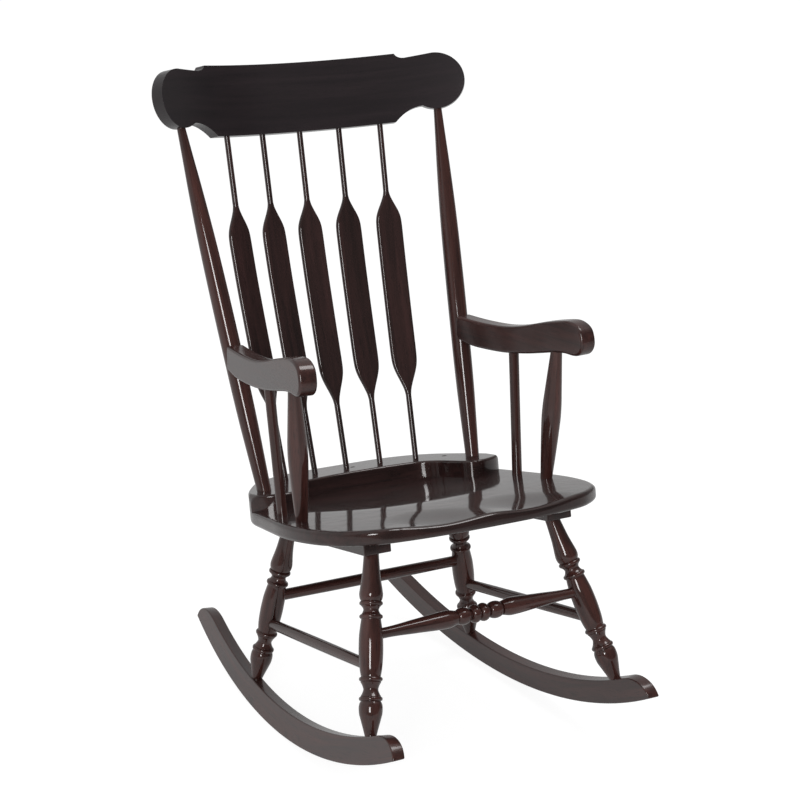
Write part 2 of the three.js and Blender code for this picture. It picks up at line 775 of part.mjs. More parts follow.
function makeSlat(index) {
  const place = index - (slatCount - 1) / 2;
  const outermost = (slatCount - 1) / 2;
  const back = slatRailCentrePlace - slatRailOuterAdvance * (place / outermost) ** 2;
  const foot = onSeat(place * slatPitchAtRail, back, railHeight + fitClearance);
  const top = inCrest(place * slatPitchAtCrest, 0);
  const length = foot.distanceTo(top);
  const mesh = addMesh(chair, `slat_${index + 1}`, slatGeometry(length), darkWood());
  const along = top.clone().sub(foot).normalize();
  const turn = Math.asin(place * slatPitchAtCrest / crestBendRadius);
  const outward = new THREE.Vector3(Math.sin(turn), Math.cos(turn), 0);
  const across = outward.clone().cross(along).normalize();
  const face = along.clone().cross(across);
  mesh.quaternion.setFromRotationMatrix(new THREE.Matrix4().makeBasis(across, face, along));
  mesh.position.copy(foot);
  const socket = (end, inner, tenon) => () => bore(
    alongLine(end, inner, -tenon - fitClearance), alongLine(end, inner, cutOverrun), slatRodRadius,
  );
  return {
    mesh,
    footBore: socket(foot, top, slatTenonIntoRail),
    topBore: socket(top, foot, slatTenonIntoCrest),
  };
}

// The height of an arm's underside at a place measured from its front end.
function armUndersideAt(place) {
  const places = armUndersideShares.map(([along, height]) => [along * armLength, height * armProfileHeight]);
  return armUndersideHeight + widthAt(places, place);
}

function armOutline() {
  const toPoint = ([along, height]) => new THREE.Vector2(
    -armRearBeforePostAxis - armLength * (1 - along), armUndersideHeight + armProfileHeight * height,
  );
  const points = [...armTopShares, ...armUndersideShares].map(toPoint);
  return new THREE.Shape(splinePoints(points, outlineSteps));
}

function makeArm(post) {
  const { side, foot, top } = post;
  const geometry = sideways(board(armOutline(), armWidth, armEdgeRadius), armWidth);
  const arm = addMesh(chair, `arm_${sideNames.get(side)}`, geometry, darkWood());
  const rear = foot.clone().lerp(top, (armScrewHeight - foot.z) / (top.z - foot.z));
  arm.position.set(rear.x, rear.y, 0);
  arm.rotation.z = side * armSplay;
  arm.updateWorldMatrix(true, false);
  return arm;
}

// A support between the seat and an arm, set into both.
function makeArmSupport(name, arm, seatX, seatPlace, placeFromArmFront, shares, radius) {
  const foot = onSeat(seatX, seatPlace);
  const back = -armRearBeforePostAxis - armLength + placeFromArmFront;
  const across = -Math.sign(seatX) * armSupportInset;
  const top = arm.localToWorld(new THREE.Vector3(across, back, armUndersideAt(placeFromArmFront)));
  const profile = sharedProfile(shares, foot.distanceTo(top), radius);
  const footRadius = profile[0][1];
  const [length, topRadius] = profile[profile.length - 1];
  const whole = [[-armSupportTenon, footRadius], ...profile, [length + armSupportTenon, topRadius]];
  aim(addMesh(chair, name, turned(whole, roundSides), darkWood()), foot, top);
  return socketCutter(whole, foot, top);
}

// A wood screw, driven at a point towards another, with its head sunk below the surface.
function makeScrew(name, at, towards, length, sink) {
  const profile = [
    [0, screwHeadRadius],
    [screwHeadHeight, screwShankRadius],
    [length - screwTipLength, screwShankRadius],
    [length, screwTipRadius],
  ];
  const head = alongLine(at, towards, sink);
  aim(addMesh(chair, name, turned(profile, smallRoundSides), steel()), head, towards);
  const hole = [[-sink - cutOverrun, screwHeadRadius], ...profile, [length + fitClearance, screwTipRadius]];
  return () => aim(new THREE.Mesh(turned(hole, smallRoundSides, fitClearance)), head, towards);
}

// Builds the pieces, then cuts each one for the pieces that go into it.
const seat = makeSeat();
const rail = makeRail();
const crest = makeCrest();
const cleats = bothSides.map((side) => makeCleat(side));
const legs = [true, false].flatMap((front) => bothSides.map((side) => makeLeg(front, side)));
const [frontLeft, frontRight, rearLeft, rearRight] = legs;
const posts = bothSides.map((side) => makePost(side));
const slats = Array.from({ length: slatCount }, (unused, index) => makeSlat(index));
const arms = posts.map((post) => makeArm(post));

makeStretcher('stretcher_front', frontLeft, frontRight, frontStretcherLegShare, frontStretcherProfile);
makeStretcher(
  'stretcher_rear', rearLeft, rearRight, rearStretcherLegShare,
  plainStretcher(rearStretcherEndRadius, rearStretcherMiddleRadius),
);
const sideStretcher = plainStretcher(sideStretcherEndRadius, sideStretcherMiddleRadius);
makeStretcher('stretcher_left', frontLeft, rearLeft, sideStretcherLegShare, sideStretcher);
makeStretcher('stretcher_right', frontRight, rearRight, sideStretcherLegShare, sideStretcher);

const armSupports = arms.map((arm, index) => {
  const side = bothSides[index];
  const sideName = sideNames.get(side);
  const post = makeArmSupport(
    `arm_post_${sideName}`, arm, side * armPostSeatHalfSpacing, -armPostSeatReach,
    armPostPlaceFromArmFront, armPostRadiusShares, armPostGreatestRadius,
  );
  const spindle = makeArmSupport(
    `arm_spindle_${sideName}`, arm, side * armSpindleSeatHalfSpacing, armSpindleSeatPlace,
    armSpindlePlaceFromArmFront, armSpindleRadiusShares, armSpindleRadius,
  );
  return [post, spindle];
});

const railScrewPlaces = [
  [-railScrewSideOffset, railScrewSidePlace],
  [railScrewCentreOffset, railScrewCentrePlace],
  [railScrewSideOffset, railScrewSidePlace],
];
const railTop = railHeight + fitClearance;
const railScrewHoles = railScrewPlaces.map(([x, back], index) => makeScrew(
  `rail_screw_${index + 1}`, onSeat(x, back, railTop), onSeat(x, back), railScrewLength, railScrewSink,
));

const cleatScrewHoles = cleats.map((cleat, index) => {
  const run = frontLegTopReach + rearLegTopReach;
  return [cleatScrewFromLeg, run - cleatScrewFromLeg].map((place, order) => makeScrew(
    `cleat_screw_${sideNames.get(bothSides[index])}_${order + 1}`,
    cleat.localToWorld(new THREE.Vector3(0, place, 0)),
    cleat.localToWorld(new THREE.Vector3(0, place, cleatHeight)),
    cleatScrewLength, cleatScrewSink,
  ));
});

const runnerScrewHoles = legs.map((leg) => makeScrew(
  `runner_screw_${leg.mesh.name.replace('leg_', '')}`, leg.underside,
  leg.at(runnerScrewAimIntoLeg / leg.length), runnerScrewLength, runnerScrewSink,
));

const armScrewHoles = arms.map((arm, index) => makeScrew(
  `arm_screw_${sideNames.get(bothSides[index])}`,
  arm.localToWorld(new THREE.Vector3(0, postGreatestRadius, armScrewHeight)),
  arm.localToWorld(new THREE.Vector3(0, 0, armScrewHeight)),
  armScrewLength, armScrewSink,
));

const cutBy = (makers) => makers.flat().map((maker) => maker());

const postCutters = posts.map((post) => post.cutter);

const legCutters = legs.map((leg) => leg.cutter);
const seatCutters = [legCutters, postCutters, armSupports.flat(), railScrewHoles, cleatScrewHoles.flat()];

carve(seat, [...saddleCutters(), ...cutBy(seatCutters)]);
carve(rail, cutBy([postCutters, slats.map((slat) => slat.footBore), railScrewHoles]));
carve(crest, cutBy([postCutters, slats.map((slat) => slat.topBore)]));
cleats.forEach((cleat, index) => {
  const ownLegs = legs.filter((leg) => leg.side === bothSides[index]);
  carve(cleat, cutBy([ownLegs.map((leg) => leg.cutter), cleatScrewHoles[index]]));
});
legs.forEach((leg, index) => {
  carve(leg.mesh, cutBy([leg.sockets, runnerScrewHoles[index]]));
  carve(leg.runner, cutBy([leg.cutter, runnerScrewHoles[index]]));
});
posts.forEach((post, index) => carve(post.mesh, cutBy([armScrewHoles[index]])));
arms.forEach((arm, index) => {
  carve(arm, cutBy([postCutters[index], armScrewHoles[index], armSupports[index]]));
});

// Rolls the chair back to the flats of its runners where it balances, and stands it on the floor with the
// middle of its length over the origin.
chair.rotation.x = -balanceFacets * runnerFacetLength / runnerRadius;
const box = new THREE.Box3().setFromObject(chair, true);
chair.position.set(0, -(box.min.y + box.max.y) / 2, -box.min.z);
const chairOnFloor = new THREE.Group();
chairOnFloor.add(chair);

export default chairOnFloor;
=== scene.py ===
"""Boston rocking chair in dark lacquered wood, standing in a white studio.

Lengths are in metres. Pieces are worked out in the chair's own upright frame, where y runs back from the line
that the runners' bend stands over and z runs up from it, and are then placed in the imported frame.
"""

import json
import logging
import math
from bisect import bisect_right
from collections.abc import Callable, Sequence
from dataclasses import dataclass
from enum import Enum
from itertools import pairwise

import bpy
from mathutils import Matrix, Vector

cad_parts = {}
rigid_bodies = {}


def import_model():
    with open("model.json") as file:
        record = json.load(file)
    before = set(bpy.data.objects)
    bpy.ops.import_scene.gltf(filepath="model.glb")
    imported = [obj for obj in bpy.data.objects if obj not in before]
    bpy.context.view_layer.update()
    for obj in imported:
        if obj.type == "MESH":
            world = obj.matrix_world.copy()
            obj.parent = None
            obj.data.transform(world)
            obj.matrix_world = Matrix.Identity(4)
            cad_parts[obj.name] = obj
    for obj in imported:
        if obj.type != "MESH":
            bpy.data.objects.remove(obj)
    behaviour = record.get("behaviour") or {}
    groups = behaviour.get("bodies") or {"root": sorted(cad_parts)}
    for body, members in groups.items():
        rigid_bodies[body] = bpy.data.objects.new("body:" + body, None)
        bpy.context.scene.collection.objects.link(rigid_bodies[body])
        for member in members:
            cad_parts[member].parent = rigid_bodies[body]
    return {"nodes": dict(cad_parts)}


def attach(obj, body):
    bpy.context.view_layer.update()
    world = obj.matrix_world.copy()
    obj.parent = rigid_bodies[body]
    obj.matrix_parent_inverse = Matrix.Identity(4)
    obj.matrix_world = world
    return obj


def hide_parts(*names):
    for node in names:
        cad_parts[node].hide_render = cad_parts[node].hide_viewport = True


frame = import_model()

log = logging.getLogger("rocking_chair")

# The attribute that holds each piece's grain, and how far apart two pieces lie in the log.
GRAIN = "grain"
GRAIN_STEP = (0.37, 0.0, 0.53)
# The body that every piece rides on.
BODY = "root"
# The radius that the runners are bent to.
BEND_RADIUS = 0.927
# Points nearer than this are one point.
DOUBLE = 1e-6
# The size of the small plane that a drawn line starts as.
PEN = 0.001
# Edges that turn by more than these are rounded, or shaded sharp.
HARD_EDGE = math.radians(50)
CREASE = math.radians(35)
SIDES = {-1: "left", 1: "right"}

Profile = list[tuple[float, float]]
Knots = tuple[tuple[float, float], ...]
Span = tuple[float, float]
GrainRule = Callable[[Vector], Vector]
Colour = tuple[float, float, float]


def even(steps: int) -> list[float]:
    """Lists the shares from 0 to 1 in even steps."""
    return [step / steps for step in range(steps + 1)]


def weights(t: float) -> tuple[float, float, float, float]:
    """Weighs a cubic's start, its slope there, its end and its slope there, at a share of its run."""
    return 2 * t**3 - 3 * t**2 + 1, t**3 - 2 * t**2 + t, 3 * t**2 - 2 * t**3, t**3 - t**2


def smooth_curve(knots: Sequence[tuple[float, float]]) -> Callable[[float], float]:
    """Makes a curve through knots that never overshoots them, as a turner's eye would.

    Args:
        knots: Places and values, in rising order of place.

    Returns:
        The function from a place to a value.
    """
    places = [place for place, _ in knots]
    values = [value for _, value in knots]
    slopes = [(b[1] - a[1]) / (b[0] - a[0]) for a, b in pairwise(knots)]
    tangents = [slopes[0]]
    for before, after in pairwise(slopes):
        same_way = before * after > 0
        tangents.append(2 * before * after / (before + after) if same_way else 0.0)
    tangents.append(slopes[-1])

    def value_at(place: float) -> float:
        """Reads the curve.

        Args:
            place: The place, which is held between the first knot and the last.

        Returns:
            The value there.
        """
        index = min(max(bisect_right(places, place) - 1, 0), len(slopes) - 1)
        width = places[index + 1] - places[index]
        start, leave, end, arrive = weights(min(max((place - places[index]) / width, 0.0), 1.0))
        first = values[index] * start + tangents[index] * width * leave
        second = values[index + 1] * end + tangents[index + 1] * width * arrive
        return first + second

    return value_at


def spline(points: Sequence[Sequence[float]], steps: int) -> list[Vector]:
    """Runs a smooth line through points.

    Args:
        points: The points, all with as many coordinates.
        steps: How many steps there are between two points.

    Returns:
        The points of the smooth line, from the first point to the last.
    """
    knots = [Vector(point) for point in points]
    line = []
    for index, (here, there) in enumerate(pairwise(knots)):
        pull_here = (there - knots[max(index - 1, 0)]) / 2
        pull_there = (knots[min(index + 2, len(knots) - 1)] - here) / 2
        for share in even(steps)[:-1]:
            start, leave, end, arrive = weights(share)
            line.append(here * start + pull_here * leave + there * end + pull_there * arrive)
    return [*line, knots[-1]]


def swept(start: Vector, pull: Vector, end: Vector, steps: int) -> list[Vector]:
    """Sweeps from one point to another in a curve that a third point pulls at."""
    return [start * (1 - t) ** 2 + pull * (2 * t * (1 - t)) + end * t**2 for t in even(steps)]


def mirrored(half: Sequence[Vector]) -> list[Vector]:
    """Completes a half outline that starts and ends on the middle line, on its other side."""
    other = [Vector((-point.x, point.y)) for point in reversed(half) if point.x > DOUBLE]
    return [*half, *other]


def bead(centre: float, half: float, neck: float, crown: float, steps: int = 10) -> Profile:
    """Draws a rounded bead of a turning: half an ellipse that stands on a neck."""
    angles = [math.pi * share for share in even(steps)]
    return [(centre - half * math.cos(a), neck + (crown - neck) * math.sin(a)) for a in angles]


def turning(shares: Knots, length: float, radius: float, stations: int) -> Profile:
    """Draws a turning from its foot up, by shares of its length and of its greatest radius."""
    curve = smooth_curve(shares)
    return [(share * length, curve(share) * radius) for share in even(stations)]


def tenoned(profile: Profile, foot: float, top: float) -> Profile:
    """Draws both ends of a turning out by the lengths of its tenons."""
    (low, low_radius), (high, high_radius) = profile[0], profile[-1]
    return [(low - foot, low_radius), *profile, (high + top, high_radius)]


def outward(azimuth: float, elevation: float) -> Vector:
    """Points from the chair to a place round it, by angles in radians. Azimuth 0 is straight in front."""
    flat = math.cos(elevation)
    return Vector((math.sin(azimuth) * flat, -math.cos(azimuth) * flat, math.sin(elevation)))


def aimed(start: Vector, end: Vector) -> Matrix:
    """Places something that lies along z so that it runs from one point towards another."""
    turn = Vector((0, 0, 1)).rotation_difference(end - start)
    return Matrix.Translation(start) @ turn.to_matrix().to_4x4()


def along(start: Vector, end: Vector, distance: float) -> Vector:
    """Finds the point at a distance from one point towards another."""
    return start + (end - start).normalized() * distance


def as_is(point: Vector) -> Vector:
    """Leaves the grain along a piece's own z."""
    return point


def grain_along_x(point: Vector) -> Vector:
    """Turns the grain along a piece's own x."""
    return Vector((point.z, point.y, point.x))


def grain_along_y(point: Vector) -> Vector:
    """Turns the grain along a piece's own y."""
    return Vector((point.x, point.z, point.y))


class Bench:
    """The modelling steps that the pieces share."""

    @staticmethod
    def pick(piece: bpy.types.Object) -> None:
        """Selects one piece alone and makes it the active one.

        Args:
            piece: The piece to select.
        """
        bpy.ops.object.select_all(action="DESELECT")
        piece.select_set(True)
        bpy.context.view_layer.objects.active = piece

    @staticmethod
    def label(name: str) -> bpy.types.Object:
        """Names the active piece and its mesh.

        Args:
            name: The name for both.

        Returns:
            The active piece.
        """
        piece = bpy.context.object
        piece.name = name
        piece.data.name = name
        return piece

    @staticmethod
    def edit(piece: bpy.types.Object, choice: str = "SELECT") -> None:
        """Opens a piece in edit mode.

        Args:
            piece: The piece to open.
            choice: SELECT to start with all of it selected, DESELECT with none of it.
        """
        Bench.pick(piece)
        bpy.ops.object.mode_set(mode="EDIT")
        bpy.ops.mesh.select_all(action=choice)

    @staticmethod
    def leave() -> None:
        """Goes back to object mode."""
        bpy.ops.object.mode_set(mode="OBJECT")

    @staticmethod
    def settle() -> None:
        """Applies the selected piece's place, turn and scale to its mesh."""
        bpy.ops.object.transform_apply(location=True, rotation=True, scale=True)

    @staticmethod
    def close() -> None:
        """Joins what meets, turns all faces outwards and leaves edit mode."""
        bpy.ops.mesh.select_all(action="SELECT")
        bpy.ops.mesh.remove_doubles(threshold=DOUBLE)
        bpy.ops.mesh.normals_make_consistent(inside=False)
        Bench.leave()

    @staticmethod
    def modify(piece: bpy.types.Object, kind: str, **settings: object) -> None:
        """Adds a modifier to a piece and applies it.

        Args:
            piece: The piece to change.
            kind: The modifier's type.
            settings: The modifier's own settings.
        """
        Bench.pick(piece)
        modifier = piece.modifiers.new(kind, kind)
        for name, value in settings.items():
            setattr(modifier, name, value)
        bpy.ops.object.modifier_apply(modifier=modifier.name)

    @staticmethod
    def line(name: str, points: Sequence[Vector]) -> bpy.types.Object:
        """Draws a line, one extruded edge after another.

        Args:
            name: The name of the new piece.
            points: The corners of the line.

        Returns:
            The line as an object at the origin.
        """
        bpy.ops.object.select_all(action="DESELECT")
        bpy.ops.mesh.primitive_plane_add(size=PEN, location=points[0])
        piece = Bench.label(name)
        Bench.edit(piece)
        bpy.ops.mesh.merge(type="CENTER")
        for here, there in pairwise(points):
            bpy.ops.mesh.extrude_vertices_move(TRANSFORM_OT_translate={"value": there - here})
        Bench.leave()
        Bench.settle()
        return piece

    @staticmethod
    def ring(name: str, points: Sequence[Vector]) -> bpy.types.Object:
        """Draws a closed line.

        Args:
            name: The name of the new piece.
            points: The corners of the line.

        Returns:
            The ring as an object at the origin.
        """
        piece = Bench.line(name, points)
        Bench.edit(piece, "DESELECT")
        Bench.leave()
        piece.data.vertices[0].select = True
        piece.data.vertices[len(points) - 1].select = True
        bpy.ops.object.mode_set(mode="EDIT")
        bpy.ops.mesh.edge_face_add()
        Bench.leave()
        return piece

    @staticmethod
    def plate(name: str, points: Sequence[Vector]) -> bpy.types.Object:
        """Draws a flat face inside a closed line.

        Args:
            name: The name of the new piece.
            points: The corners of the face.

        Returns:
            The face as an object at the origin.
        """
        piece = Bench.ring(name, points)
        Bench.edit(piece)
        bpy.ops.mesh.edge_face_add()
        Bench.leave()
        return piece

    @staticmethod
    def thicken(piece: bpy.types.Object, depth: Vector) -> None:
        """Extrudes a flat piece into a board.

        Args:
            piece: The flat piece.
            depth: How far and which way it is extruded.
        """
        Bench.edit(piece)
        bpy.ops.mesh.extrude_region_move(TRANSFORM_OT_translate={"value": depth})
        Bench.close()

    @staticmethod
    def ease(piece: bpy.types.Object, width: float, segments: int = 3) -> None:
        """Rounds the hard edges of a piece.

        Args:
            piece: The piece to round.
            width: How far the rounding reaches from an edge.
            segments: How many faces go round an edge.
        """
        Bench.modify(
            piece, "BEVEL", width=width, segments=segments, limit_method="ANGLE", angle_limit=HARD_EDGE,
        )
        Bench.edit(piece)
        Bench.close()

    @staticmethod
    def board(name: str, points: Sequence[Vector], depth: Vector, edge: float, segments: int = 3
              ) -> bpy.types.Object:
        """Saws a board to its outline and rounds its edges.

        Args:
            name: The name of the new piece.
            points: The board's outline.
            depth: Its thickness, and which way that lies.
            edge: How far the rounding reaches from an edge.
            segments: How many faces go round an edge.

        Returns:
            The board as an object at the origin.
        """
        piece = Bench.plate(name, points)
        Bench.thicken(piece, depth)
        Bench.ease(piece, edge, segments)
        return piece

    @staticmethod
    def turned(name: str, profile: Profile, sides: int) -> bpy.types.Object:
        """Turns a piece on the lathe: its profile is drawn and spun round z.

        Args:
            name: The name of the new piece.
            profile: Heights and radii, from the bottom up.
            sides: How many faces go round the piece.

        Returns:
            The turned piece, closed at both ends.
        """
        ends = [(profile[0][0], 0.0), *profile, (profile[-1][0], 0.0)]
        piece = Bench.line(name, [Vector((radius, 0, height)) for height, radius in ends])
        Bench.edit(piece)
        bpy.ops.mesh.spin(steps=sides, angle=math.tau, center=(0, 0, 0), axis=(0, 0, 1))
        Bench.close()
        return piece

    @staticmethod
    def bridged(name: str, rings: Sequence[Sequence[Vector]]) -> bpy.types.Object:
        """Draws rings one after another, bridges them and closes both ends.

        Args:
            name: The name of the new piece.
            rings: The piece's sections, all with as many points.

        Returns:
            The closed piece.
        """
        drawn = [Bench.ring(name, points) for points in rings]
        Bench.pick(drawn[0])
        for piece in drawn:
            piece.select_set(True)
        bpy.ops.object.join()
        Bench.edit(drawn[0])
        bpy.ops.mesh.bridge_edge_loops()
        bpy.ops.mesh.select_all(action="SELECT")
        bpy.ops.mesh.fill_holes(sides=0)
        Bench.close()
        return drawn[0]

    @staticmethod
    def slice(piece: bpy.types.Object, axis: int, low: float, high: float, step: float) -> None:
        """Cuts a piece across at even steps, so that it can be shaped along that axis.

        Args:
            piece: The piece to cut.
            axis: The number of the axis that the cuts are square to.
            low: The first cut's place.
            high: The place that the cuts end before.
            step: The distance between cuts.
        """
        normal = Vector((0, 0, 0))
        normal[axis] = 1
        Bench.edit(piece)
        place = low
        while place < high:
            bpy.ops.mesh.select_all(action="SELECT")
            bpy.ops.mesh.bisect(plane_co=normal * place, plane_no=normal)
            place += step
        Bench.leave()

    @staticmethod
    def shape(piece: bpy.types.Object, rule: Callable[[Vector], Vector]) -> None:
        """Moves every vertex of a piece by one rule, as a sculpting pass does."""
        for vertex in piece.data.vertices:
            vertex.co = rule(vertex.co)

    @staticmethod
    def bend(piece: bpy.types.Object, radius: float) -> None:
        """Bends a board round an upright line in front of it.

        Args:
            piece: The board, which lies along x.
            radius: How far in front of the board the line stands.
        """
        places = [vertex.co.x for vertex in piece.data.vertices]
        angle = -(max(places) - min(places)) / radius
        Bench.modify(piece, "SIMPLE_DEFORM", deform_method="BEND", deform_axis="Z", angle=angle)

    @staticmethod
    def cut(piece: bpy.types.Object, cutter: bpy.types.Object) -> None:
        """Cuts one piece out of another and throws the cutter away."""
        Bench.modify(piece, "BOOLEAN", operation="DIFFERENCE", solver="EXACT", object=cutter)
        bpy.data.objects.remove(cutter)

    @staticmethod
    def copy(piece: bpy.types.Object, name: str) -> bpy.types.Object:
        """Copies a piece, with a mesh of its own.

        Args:
            piece: The piece to copy.
            name: The copy's name.

        Returns:
            The copy.
        """
        Bench.pick(piece)
        bpy.ops.object.duplicate(linked=False)
        return Bench.label(name)

    @staticmethod
    def mark_grain(piece: bpy.types.Object, rule: GrainRule = as_is) -> None:
        """Writes on each vertex where it lies in its own board, with the grain along z.

        Args:
            piece: The piece, before it is placed in the chair.
            rule: Turns a vertex's place into its place in the board.
        """
        shift = Vector([len(bpy.data.objects) * step for step in GRAIN_STEP])
        mark = piece.data.attributes.get(GRAIN) or piece.data.attributes.new(GRAIN, "FLOAT_VECTOR", "POINT")
        for vertex in piece.data.vertices:
            mark.data[vertex.index].vector = rule(vertex.co) + shift

    @staticmethod
    def place(piece: bpy.types.Object, where: Matrix) -> None:
        """Puts a piece where it belongs in the chair and applies that to its mesh.

        Args:
            piece: The finished piece.
            where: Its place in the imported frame.
        """
        Bench.pick(piece)
        piece.matrix_world = where @ piece.matrix_world
        Bench.settle()

    @staticmethod
    def smooth(piece: bpy.types.Object) -> None:
        """Shades a piece smooth, apart from its hard edges, and keeps its broad faces flat.

        Args:
            piece: The placed piece.
        """
        Bench.pick(piece)
        bpy.ops.object.shade_smooth_by_angle(angle=CREASE)
        Bench.modify(piece, "WEIGHTED_NORMAL", keep_sharp=True)


class Slot(Enum):
    """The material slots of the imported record."""

    WOOD = "dark_wood"
    CREST = "crest_wood"
    STEEL = "screw_steel"


class Finish(Enum):
    """The finishes: glossy boards, satin sawn pieces, redder turnings, the crest and the screws."""

    BOARD = "board"
    SAWN = "sawn"
    TURNED = "turned"
    CREST = "crest"
    STEEL = "steel"


class NodeBoard:
    """Lays out the nodes of one material or world."""

    def __init__(self, owner: bpy.types.Material | bpy.types.World) -> None:
        """Opens the owner's node tree.

        Args:
            owner: What the nodes are for.
        """
        owner.use_nodes = True
        self.nodes = owner.node_tree.nodes
        self.links = owner.node_tree.links

    def plug(self, socket: bpy.types.NodeSocket, value: object) -> None:
        """Fills one socket.

        Args:
            socket: The socket to fill.
            value: What goes in: a value, or the output of another node.
        """
        if isinstance(value, bpy.types.NodeSocket):
            self.links.new(value, socket)
        else:
            socket.default_value = value

    def feed(self, node: bpy.types.Node, inputs: dict[str | int, object]) -> None:
        """Fills a node's sockets by their names or numbers."""
        for name, value in inputs.items():
            self.plug(node.inputs[name], value)

    def add(self, kind: str, inputs: dict[str | int, object], **settings: object) -> bpy.types.Node:
        """Adds one node.

        Args:
            kind: The node's type, without its ShaderNode prefix.
            inputs: What goes into its sockets: values, or the outputs of other nodes.
            settings: Its own settings.

        Returns:
            The new node.
        """
        node = self.nodes.new("ShaderNode" + kind)
        for name, value in settings.items():
            setattr(node, name, value)
        self.feed(node, inputs)
        return node

    def ramp(self, factor: bpy.types.NodeSocket, span: Span, colours: tuple[Colour, Colour]
             ) -> bpy.types.NodeSocket:
        """Turns a factor into a colour.

        Args:
            factor: The factor.
            span: The factors where the colour starts and ends changing.
            colours: The colours at those two.

        Returns:
            The colour.
        """
        node = self.add("ValToRGB", {"Fac": factor})
        for stop, position, colour in zip(node.color_ramp.elements, span, colours):
            stop.position = position
            stop.color = (*colour, 1)
        return node.outputs["Color"]

    def span(self, value: bpy.types.NodeSocket, source: Span, target: Span, smooth: bool = False
             ) -> bpy.types.NodeSocket:
        """Stretches a value from one span to another.

        Args:
            value: The value.
            source: The span that it comes from, past which it is held.
            target: The span that it goes to.
            smooth: Whether it eases in and out.

        Returns:
            The stretched value.
        """
        inputs = {"Value": value, "From Min": source[0], "From Max": source[1], "To Min": target[0],
                  "To Max": target[1]}
        kind = "SMOOTHSTEP" if smooth else "LINEAR"
        return self.add("MapRange", inputs, interpolation_type=kind).outputs["Result"]

    def noise(self, place: bpy.types.NodeSocket, scale: float, detail: float, distortion: float = 0.0
              ) -> bpy.types.NodeSocket:
        """Adds a noise and gives its factor."""
        inputs = {"Vector": place, "Scale": scale, "Detail": detail, "Distortion": distortion}
        return self.add("TexNoise", inputs).outputs["Fac"]

    def bump(self, height: bpy.types.NodeSocket, strength: float, distance: float,
             **under: bpy.types.NodeSocket) -> bpy.types.NodeSocket:
        """Raises a surface by a height, over the Normal of another bump if one is given."""
        inputs = {"Height": height, "Strength": strength, "Distance": distance, **under}
        return self.add("Bump", inputs).outputs["Normal"]

    def sum_up(self, operation: str, *values: object) -> bpy.types.NodeSocket:
        """Works several numbers together.

        Args:
            operation: The Math node's operation.
            values: The numbers, or other nodes' outputs.

        Returns:
            The result.
        """
        total = values[0]
        for value in values[1:]:
            total = self.add("Math", {0: total, 1: value}, operation=operation).outputs[0]
        return total

    def mix(self, kind: str, factor: object, low: object, high: object, **settings: object
            ) -> bpy.types.NodeSocket:
        """Goes from one value to another.

        Args:
            kind: What is mixed, as its sockets are called: Color or Float.
            factor: How far it goes, from 0 to 1.
            low: The value at 0.
            high: The value at 1.
            settings: The Mix node's other settings.

        Returns:
            The mixed value.
        """
        node = self.add("Mix", {}, data_type="RGBA" if kind == "Color" else "FLOAT", **settings)
        sockets = {socket.identifier: socket for socket in (*node.inputs, *node.outputs)}
        for name, value in (("Factor_Float", factor), (f"A_{kind}", low), (f"B_{kind}", high)):
            self.plug(sockets[name], value)
        return sockets[f"Result_{kind}"]


@dataclass(frozen=True)
class LacqueredWood:
    """Stained wood under a clear gloss lacquer.

    The stain lies in streaks along the grain, the pores show as fine lines, and the sprayed lacquer has a
    slight ripple. A bump is its strength and its height.
    """

    name: str
    slot: Slot
    deep: Colour
    warm: Colour
    pore: Colour
    sheen: Colour = (1.0, 0.5, 0.42)
    sheen_level: float = 0.2
    roughness: Span = (0.42, 0.6)
    coat_roughness: float = 0.08
    coat_ior: float = 1.55
    grain_stretch: float = 0.055
    streak_scale: float = 70.0
    streak_detail: float = 6.0
    streak_bend: float = 0.6
    streak_span: Span = (0.34, 0.72)
    pore_scale: float = 620.0
    pore_detail: float = 3.0
    pore_span: Span = (0.56, 0.7)
    pore_strength: float = 0.8
    pore_bump: Span = (0.12, 0.0006)
    cloud_scale: float = 70.0 / 6
    cloud_detail: float = 2.0
    cloud_bend: float = 0.2
    cloud_span: Span = (0.3, 0.7)
    cloud: Colour = (0.62, 0.6, 0.6)
    ripple_scale: float = 30.0
    ripple_detail: float = 1.0
    ripple_bump: Span = (0.05, 0.002)

    def make(self) -> bpy.types.Material:
        """Makes the material.

        Returns:
            The wood as a node material that reads the grain marked on each piece.
        """
        material = bpy.data.materials.new(self.name)
        board = NodeBoard(material)
        grain = board.add("Attribute", {}, attribute_name=GRAIN).outputs["Vector"]
        stretch = (1, 1, self.grain_stretch)
        fibres = board.add("Mapping", {"Vector": grain, "Scale": stretch}).outputs["Vector"]
        streaks = board.noise(fibres, self.streak_scale, self.streak_detail, self.streak_bend)
        pores = board.noise(fibres, self.pore_scale, self.pore_detail)
        clouds = board.noise(fibres, self.cloud_scale, self.cloud_detail, self.cloud_bend)
        ripple = board.noise(grain, self.ripple_scale, self.ripple_detail)
        stain = board.ramp(streaks, self.streak_span, (self.deep, self.warm))
        filled = board.span(pores, self.pore_span, (0.0, self.pore_strength))
        pored = board.mix("Color", filled, stain, (*self.pore, 1))
        uneven = board.ramp(clouds, self.cloud_span, (self.cloud, (1, 1, 1)))
        sprayed = board.bump(ripple, *self.ripple_bump)
        board.feed(board.nodes["Principled BSDF"], {
            "Base Color": board.mix("Color", 1.0, pored, uneven, blend_type="MULTIPLY"),
            "Roughness": board.span(streaks, (0.0, 1.0), self.roughness),
            "Normal": board.bump(pores, *self.pore_bump, Normal=sprayed),
            "Specular IOR Level": self.sheen_level,
            "Specular Tint": (*self.sheen, 1),
            "Coat Weight": 1.0,
            "Coat Roughness": self.coat_roughness,
            "Coat IOR": self.coat_ior,
            "Coat Normal": sprayed,
        })
        return material


